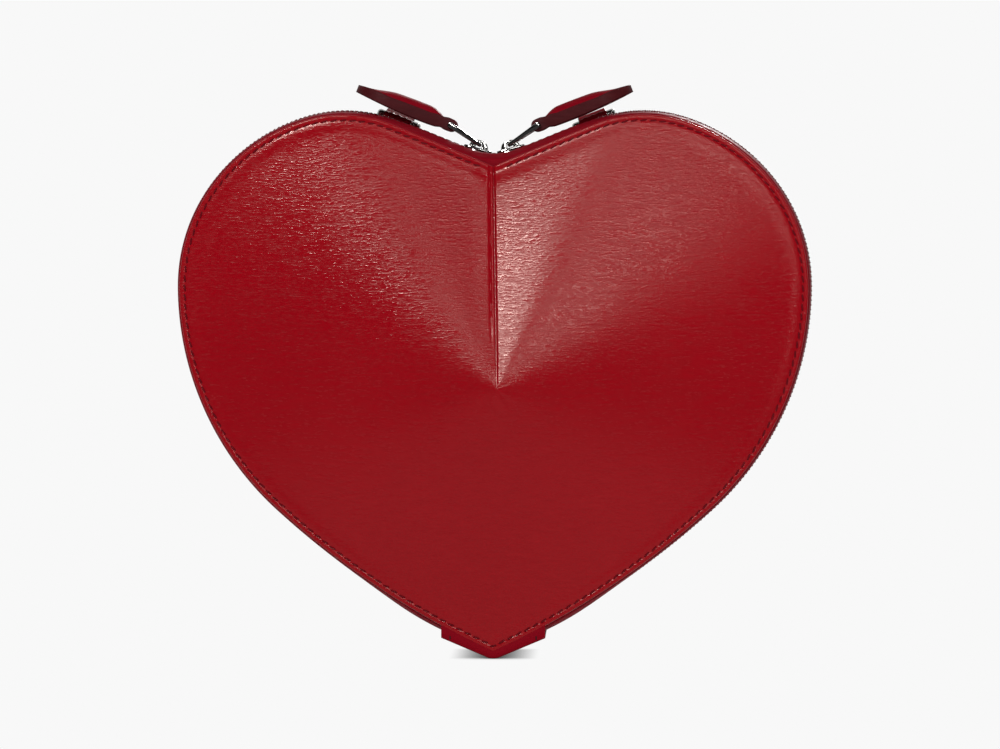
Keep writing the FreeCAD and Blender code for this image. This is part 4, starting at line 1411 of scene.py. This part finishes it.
def lining_pile(outline):
    """Lining of the front half: its face over the board and its skirt down to the tape."""
    face_y, skirt_y, inset, cloth = -11.9 * MM, -6.8 * MM, 2.0 * MM, 0.5 * MM
    foot = outline.both_sides(outline.rim(-outline.shape.seam_margin))
    middle = np.array([0.0, outline.apex[1]])
    edge = outline.both_sides(outline.rim(-inset))
    inner = outline.both_sides(outline.rim(-inset - cloth))
    face, back = [], []
    for y in np.linspace(skirt_y, face_y + 0.9 * MM, 5):
        face.append(np.insert(edge, 1, y, axis=1))
        back.append(np.insert(inner, 1, y, axis=1))
    face.append(np.insert(edge * 0.9 + inner * 0.1, 1, face_y + 0.25 * MM, axis=1))
    back.append(np.insert(inner, 1, face_y + 0.75 * MM, axis=1))
    rows = [(outline.both_sides(outline.rim(-inset - 0.5 * MM)), 0.0)]
    rows += [(foot + (middle - foot) * level, level) for level in np.linspace(0.0, 0.985, 30)]
    for row, level in rows:
        slack = cloth_waves(row[:, 0], row[:, 1]) * smooth(0.02, 0.2, level)
        deep = face_y - outline.shape.dome_rise * level + slack + 0.3 * MM * smooth(0.0, 0.1, level)
        face.append(np.stack([row[:, 0], deep, row[:, 1]], -1))
        back.append(np.stack([row[:, 0], deep + cloth, row[:, 1]], -1))
    face, back = np.array(face)[:, :-1], np.array(back)[:, :-1]
    count, columns = face.shape[:2]
    sheet, rim, _ = shell_faces(count, columns, True)
    points = np.concatenate([face.reshape(-1, 3), back.reshape(-1, 3)])
    last = (count - 1) * columns
    start = count * columns
    sheet += rim[:columns]
    sheet += [list(range(last, last + columns)), list(range(start + last, start + last + columns))]
    pile = Pile()
    pile.add(points, sheet)
    return pile


def pocket_pile(outline, width, top, height, leather):
    """Slip pocket on the lining of the back half, with a hem and a little slack at its mouth."""
    cloth = 0.6 * MM
    hem = 7.0 * MM
    x = np.linspace(-width / 2.0, width / 2.0, 61)
    z = top - np.concatenate([np.linspace(0.0, hem, 8), np.linspace(hem + 0.6 * MM, height, 44)])
    x_grid, z_grid = np.meshgrid(x, z)
    down = (top - z_grid) / height
    across = 1.0 - (2.0 * x_grid / width) ** 2
    slack = 2.4 * MM * across ** 2 * (1.0 - smooth(0.0, 0.85, down))
    ripple = 0.35 * MM * np.sin(x_grid * 150.0) * across * (1.0 - smooth(0.0, 0.5, down))
    folded = 0.45 * MM * (1.0 - smooth(hem - 0.3 * MM, hem + 0.5 * MM, top - z_grid))
    deep = 10.55 * MM + outline.cone(x_grid, z_grid, outline.shape.dome_rise) - slack - ripple
    face = np.stack([x_grid, deep - folded, z_grid], -1)
    back = np.stack([x_grid, deep + cloth, z_grid], -1)
    sheet, rim, ends = shell_faces(len(z), len(x), False)
    pile = Pile()
    pile.add(np.concatenate([face.reshape(-1, 3), back.reshape(-1, 3)]), sheet + rim + ends)
    row = int(np.searchsorted(top - z, hem - 1.2 * MM))
    side = 3
    runs = [face[row, side:-side], face[:, side], face[:, -1 - side], face[-3, side:-side]]
    sewn = Pile()
    for run in runs:
        ups = np.tile([0.0, -1.0, 0.0], (len(run), 1))
        sewn.add(*stitch_row(run, ups, 2.6 * MM, 2.0 * MM, 0.4 * leather.thread, 0.25 * MM))
    return pile, sewn


class PURSE_OT_lining(bpy.types.Operator):
    """Build the cloth lining of both halves and the slip pocket, and finish the boards"""

    bl_idname = "purse.lining"
    bl_label = "Lining and boards"

    def execute(self, context):
        scene = context.scene
        finishes = make_finishes(scene.purse_colours)
        outline = HeartOutline(scene.purse_shape)
        cloth = lining_pile(outline)
        for half, flip in HALVES.items():
            sheet = cloth.mirrored((1.0, flip, 1.0)).piece(half + "_lining_cloth", [finishes["lining_weave"]])
            settle(sheet, half + "_half", "lining", half + "_lining")
            finish_node(half + "_board", finishes["fibre_board_and_gap_shade"])
        width, height = 0.090, 0.064
        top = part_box("slip_pocket")[1].z
        pocket, sewn = pocket_pile(outline, width, top, height, scene.purse_leather)
        pouch = pocket.piece("slip_pocket_cloth", [finishes["lining_weave"]])
        settle(pouch, "back_half", "lining", "slip_pocket")
        thread = sewn.piece("slip_pocket_stitches", [finishes["red_thread"]], THREAD_EDGE)
        settle(thread, "back_half", "lining")
        return {"FINISHED"}


# Studio

def softbox(name, power, face, place, target, roll=0.0):
    """Lamp with a rectangular face, aimed at target and turned about its own line by roll."""
    lamp = bpy.data.lights.new(name, "AREA")
    lamp.shape = "RECTANGLE"
    lamp.size, lamp.size_y = face
    lamp.energy = power
    obj = bpy.data.objects.new(name, lamp)
    obj.location = place
    way = np.array(target) - np.array(place)
    aim = Vector(way).to_track_quat("-Z", "Y") @ Quaternion((0.0, 0.0, 1.0), roll)
    obj.rotation_euler = aim.to_euler()
    obj.visible_camera = False
    bpy.context.scene.collection.objects.link(obj)


def seen_rays(tree):
    """One where a ray is seen directly, in a reflection or through glass."""
    path = tree.nodes.new("ShaderNodeLightPath")
    total = path.outputs["Is Camera Ray"]
    for kind in ("Is Glossy Ray", "Is Transmission Ray"):
        add = tree.nodes.new("ShaderNodeMath")
        add.operation = "MAXIMUM"
        tree.links.new(total, add.inputs[0])
        tree.links.new(path.outputs[kind], add.inputs[1])
        total = add.outputs[0]
    return total


def make_world(studio, colours):
    """Even light all round, with the backdrop's colour wherever it is seen."""
    world = bpy.data.worlds.new("studio_light")
    bpy.context.scene.world = world
    world.use_nodes = True
    tree = world.node_tree
    tree.nodes.clear()
    seen = seen_rays(tree)
    backdrop = tree.nodes.new("ShaderNodeBackground")
    backdrop.inputs["Color"].default_value = (*colours.backdrop, 1.0)
    light = tree.nodes.new("ShaderNodeBackground")
    light.inputs["Color"].default_value = (1.0, 1.0, 1.0, 1.0)
    light.inputs["Strength"].default_value = studio.fill
    mix = tree.nodes.new("ShaderNodeMixShader")
    out = tree.nodes.new("ShaderNodeOutputWorld")
    tree.links.new(seen, mix.inputs["Fac"])
    tree.links.new(light.outputs[0], mix.inputs[1])
    tree.links.new(backdrop.outputs[0], mix.inputs[2])
    tree.links.new(mix.outputs[0], out.inputs["Surface"])


def make_floor(studio, colours):
    """Pale floor that fades into the backdrop, with a painted contact shadow under the tip."""
    pile = Pile()
    half = 3.0
    pile.add([(-half, -half, 0.0), (half, -half, 0.0), (half, half, 0.0), (-half, half, 0.0)], [[0, 1, 2, 3]])
    material = bpy.data.materials.new("studio_floor")
    material.use_nodes = True
    tree = material.node_tree
    tree.nodes.clear()
    # The glow seen directly and in reflections is darkened by ambient occlusion near the tip: a painted
    # contact shadow, not one cast by the lamps
    near = tree.nodes.new("ShaderNodeAmbientOcclusion")
    near.samples = 16
    near.inputs["Distance"].default_value = studio.contact
    glow = tree.nodes.new("ShaderNodeEmission")
    glow.inputs["Color"].default_value = (*colours.backdrop, 1.0)
    painted_shadow = near.outputs["AO"]
    for operation, first, second in (("SUBTRACT", 1.0, None), ("POWER", None, 1.6), ("SUBTRACT", 1.0, None)):
        step = tree.nodes.new("ShaderNodeMath")
        step.operation = operation
        for socket, value in zip(step.inputs, (first, second)):
            if value is None:
                tree.links.new(painted_shadow, socket)
            else:
                socket.default_value = value
        painted_shadow = step.outputs[0]
    matt = tree.nodes.new("ShaderNodeBsdfDiffuse")
    matt.inputs["Color"].default_value = (*colours.backdrop, 1.0)
    mix = tree.nodes.new("ShaderNodeMixShader")
    out = tree.nodes.new("ShaderNodeOutputMaterial")
    tree.links.new(painted_shadow, glow.inputs["Strength"])
    tree.links.new(seen_rays(tree), mix.inputs["Fac"])
    tree.links.new(matt.outputs[0], mix.inputs[1])
    tree.links.new(glow.outputs[0], mix.inputs[2])
    tree.links.new(mix.outputs[0], out.inputs["Surface"])
    pile.piece("studio_floor", [material])


def make_flag():
    """Dark carpet, curtain and ceiling round the camera, there only for reflections."""
    pile = Pile()
    section = [(0.30, 0.001), (2.7, 0.001), (2.7, 3.4), (0.9, 3.4)]
    turns = np.linspace(-1.4, 1.4, 25)
    rows = []
    for reach, level in section:
        rows.append([(reach * math.sin(angle), -reach * math.cos(angle), level) for angle in turns])
    pile.add(rows, grid_faces(len(section), len(turns)))
    finish = Finish("studio_flag", (0.006, 0.006, 0.006), 0.9)
    flag = pile.piece("studio_flag", [finish.material])
    flag.visible_camera = False
    flag.visible_diffuse = False
    flag.visible_shadow = False


def make_camera(studio, rim_y):
    """Camera that frames the purse as wide as the picture span at the front seam."""
    sensor = 36.0
    distance = studio.picture_span * studio.lens / sensor
    level = math.cos(studio.elevation)
    back = [math.sin(studio.azimuth) * level, -math.cos(studio.azimuth) * level, math.sin(studio.elevation)]
    back = np.array(back)
    target = np.array([studio.picture_x, rim_y, studio.picture_z])
    lens = bpy.data.cameras.new("studio_camera")
    lens.lens = studio.lens
    lens.sensor_width = sensor
    camera = bpy.data.objects.new("studio_camera", lens)
    camera.location = target + back * distance
    camera.rotation_euler = Vector(-back).to_track_quat("-Z", "Y").to_euler()
    bpy.context.scene.collection.objects.link(camera)
    bpy.context.scene.camera = camera


class PURSE_OT_stage(bpy.types.Operator):
    """Set up the floor, the softboxes, the even light and the camera"""

    bl_idname = "purse.stage"
    bl_label = "Stage"

    def execute(self, context):
        scene = context.scene
        studio = scene.purse_studio
        middle = (0.0, 0.0, scene.purse_shape.crown_height / 2.0)
        make_camera(studio, -scene.purse_shape.seam_depth / 2.0)
        make_world(studio, scene.purse_colours)
        make_floor(studio, scene.purse_colours)
        make_flag()
        strip_roll = math.radians(-31.0)
        softbox("key_softbox", studio.key_power, (0.25, 0.25), (-0.46, -1.97, 1.00), middle)
        softbox("front_softbox", studio.front_power, (0.25, 0.06), (0.096, -0.806, 0.271), middle, strip_roll)
        softbox("back_softbox", studio.back_power, (0.30, 0.30), (0.46, 1.97, 1.00), middle)
        softbox("side_softbox", studio.side_power, (0.35, 0.35), (0.60, -0.55, 0.95), middle)
        scene.view_settings.view_transform = "Standard"
        return {"FINISHED"}


class PURSE_PT_pieces(bpy.types.Panel):
    """Sizes, colours and the pieces of the purse"""

    bl_idname = "PURSE_PT_pieces"
    bl_label = "Heart shaped purse"
    bl_space_type = "VIEW_3D"
    bl_region_type = "UI"
    bl_category = "Purse"

    def draw(self, context):
        for operator in OPERATORS:
            self.layout.operator(operator.bl_idname)
        for group in GROUPS:
            settings = getattr(context.scene, group)
            box = self.layout.box()
            for name in settings.__annotations__:
                box.prop(settings, name)


OPERATORS = [
    PURSE_OT_panels,
    PURSE_OT_gussets,
    PURSE_OT_zip,
    PURSE_OT_sliders,
    PURSE_OT_pulls,
    PURSE_OT_tip_tab,
    PURSE_OT_strap_tabs,
    PURSE_OT_lining,
    PURSE_OT_stage,
]
CLASSES = [*GROUPS.values(), *OPERATORS, PURSE_PT_pieces]


def register():
    for item in CLASSES:
        bpy.utils.register_class(item)
    for name, group in GROUPS.items():
        setattr(bpy.types.Scene, name, PointerProperty(type=group))


def unregister():
    for name in GROUPS:
        delattr(bpy.types.Scene, name)
    for item in reversed(CLASSES):
        bpy.utils.unregister_class(item)


def main():
    register()
    bpy.ops.purse.panels()
    bpy.ops.purse.gussets()
    bpy.ops.purse.zip()
    bpy.ops.purse.sliders()
    bpy.ops.purse.pulls()
    bpy.ops.purse.tip_tab()
    bpy.ops.purse.strap_tabs()
    bpy.ops.purse.lining()
    bpy.ops.purse.stage()


if __name__ == "__main__":
    main()
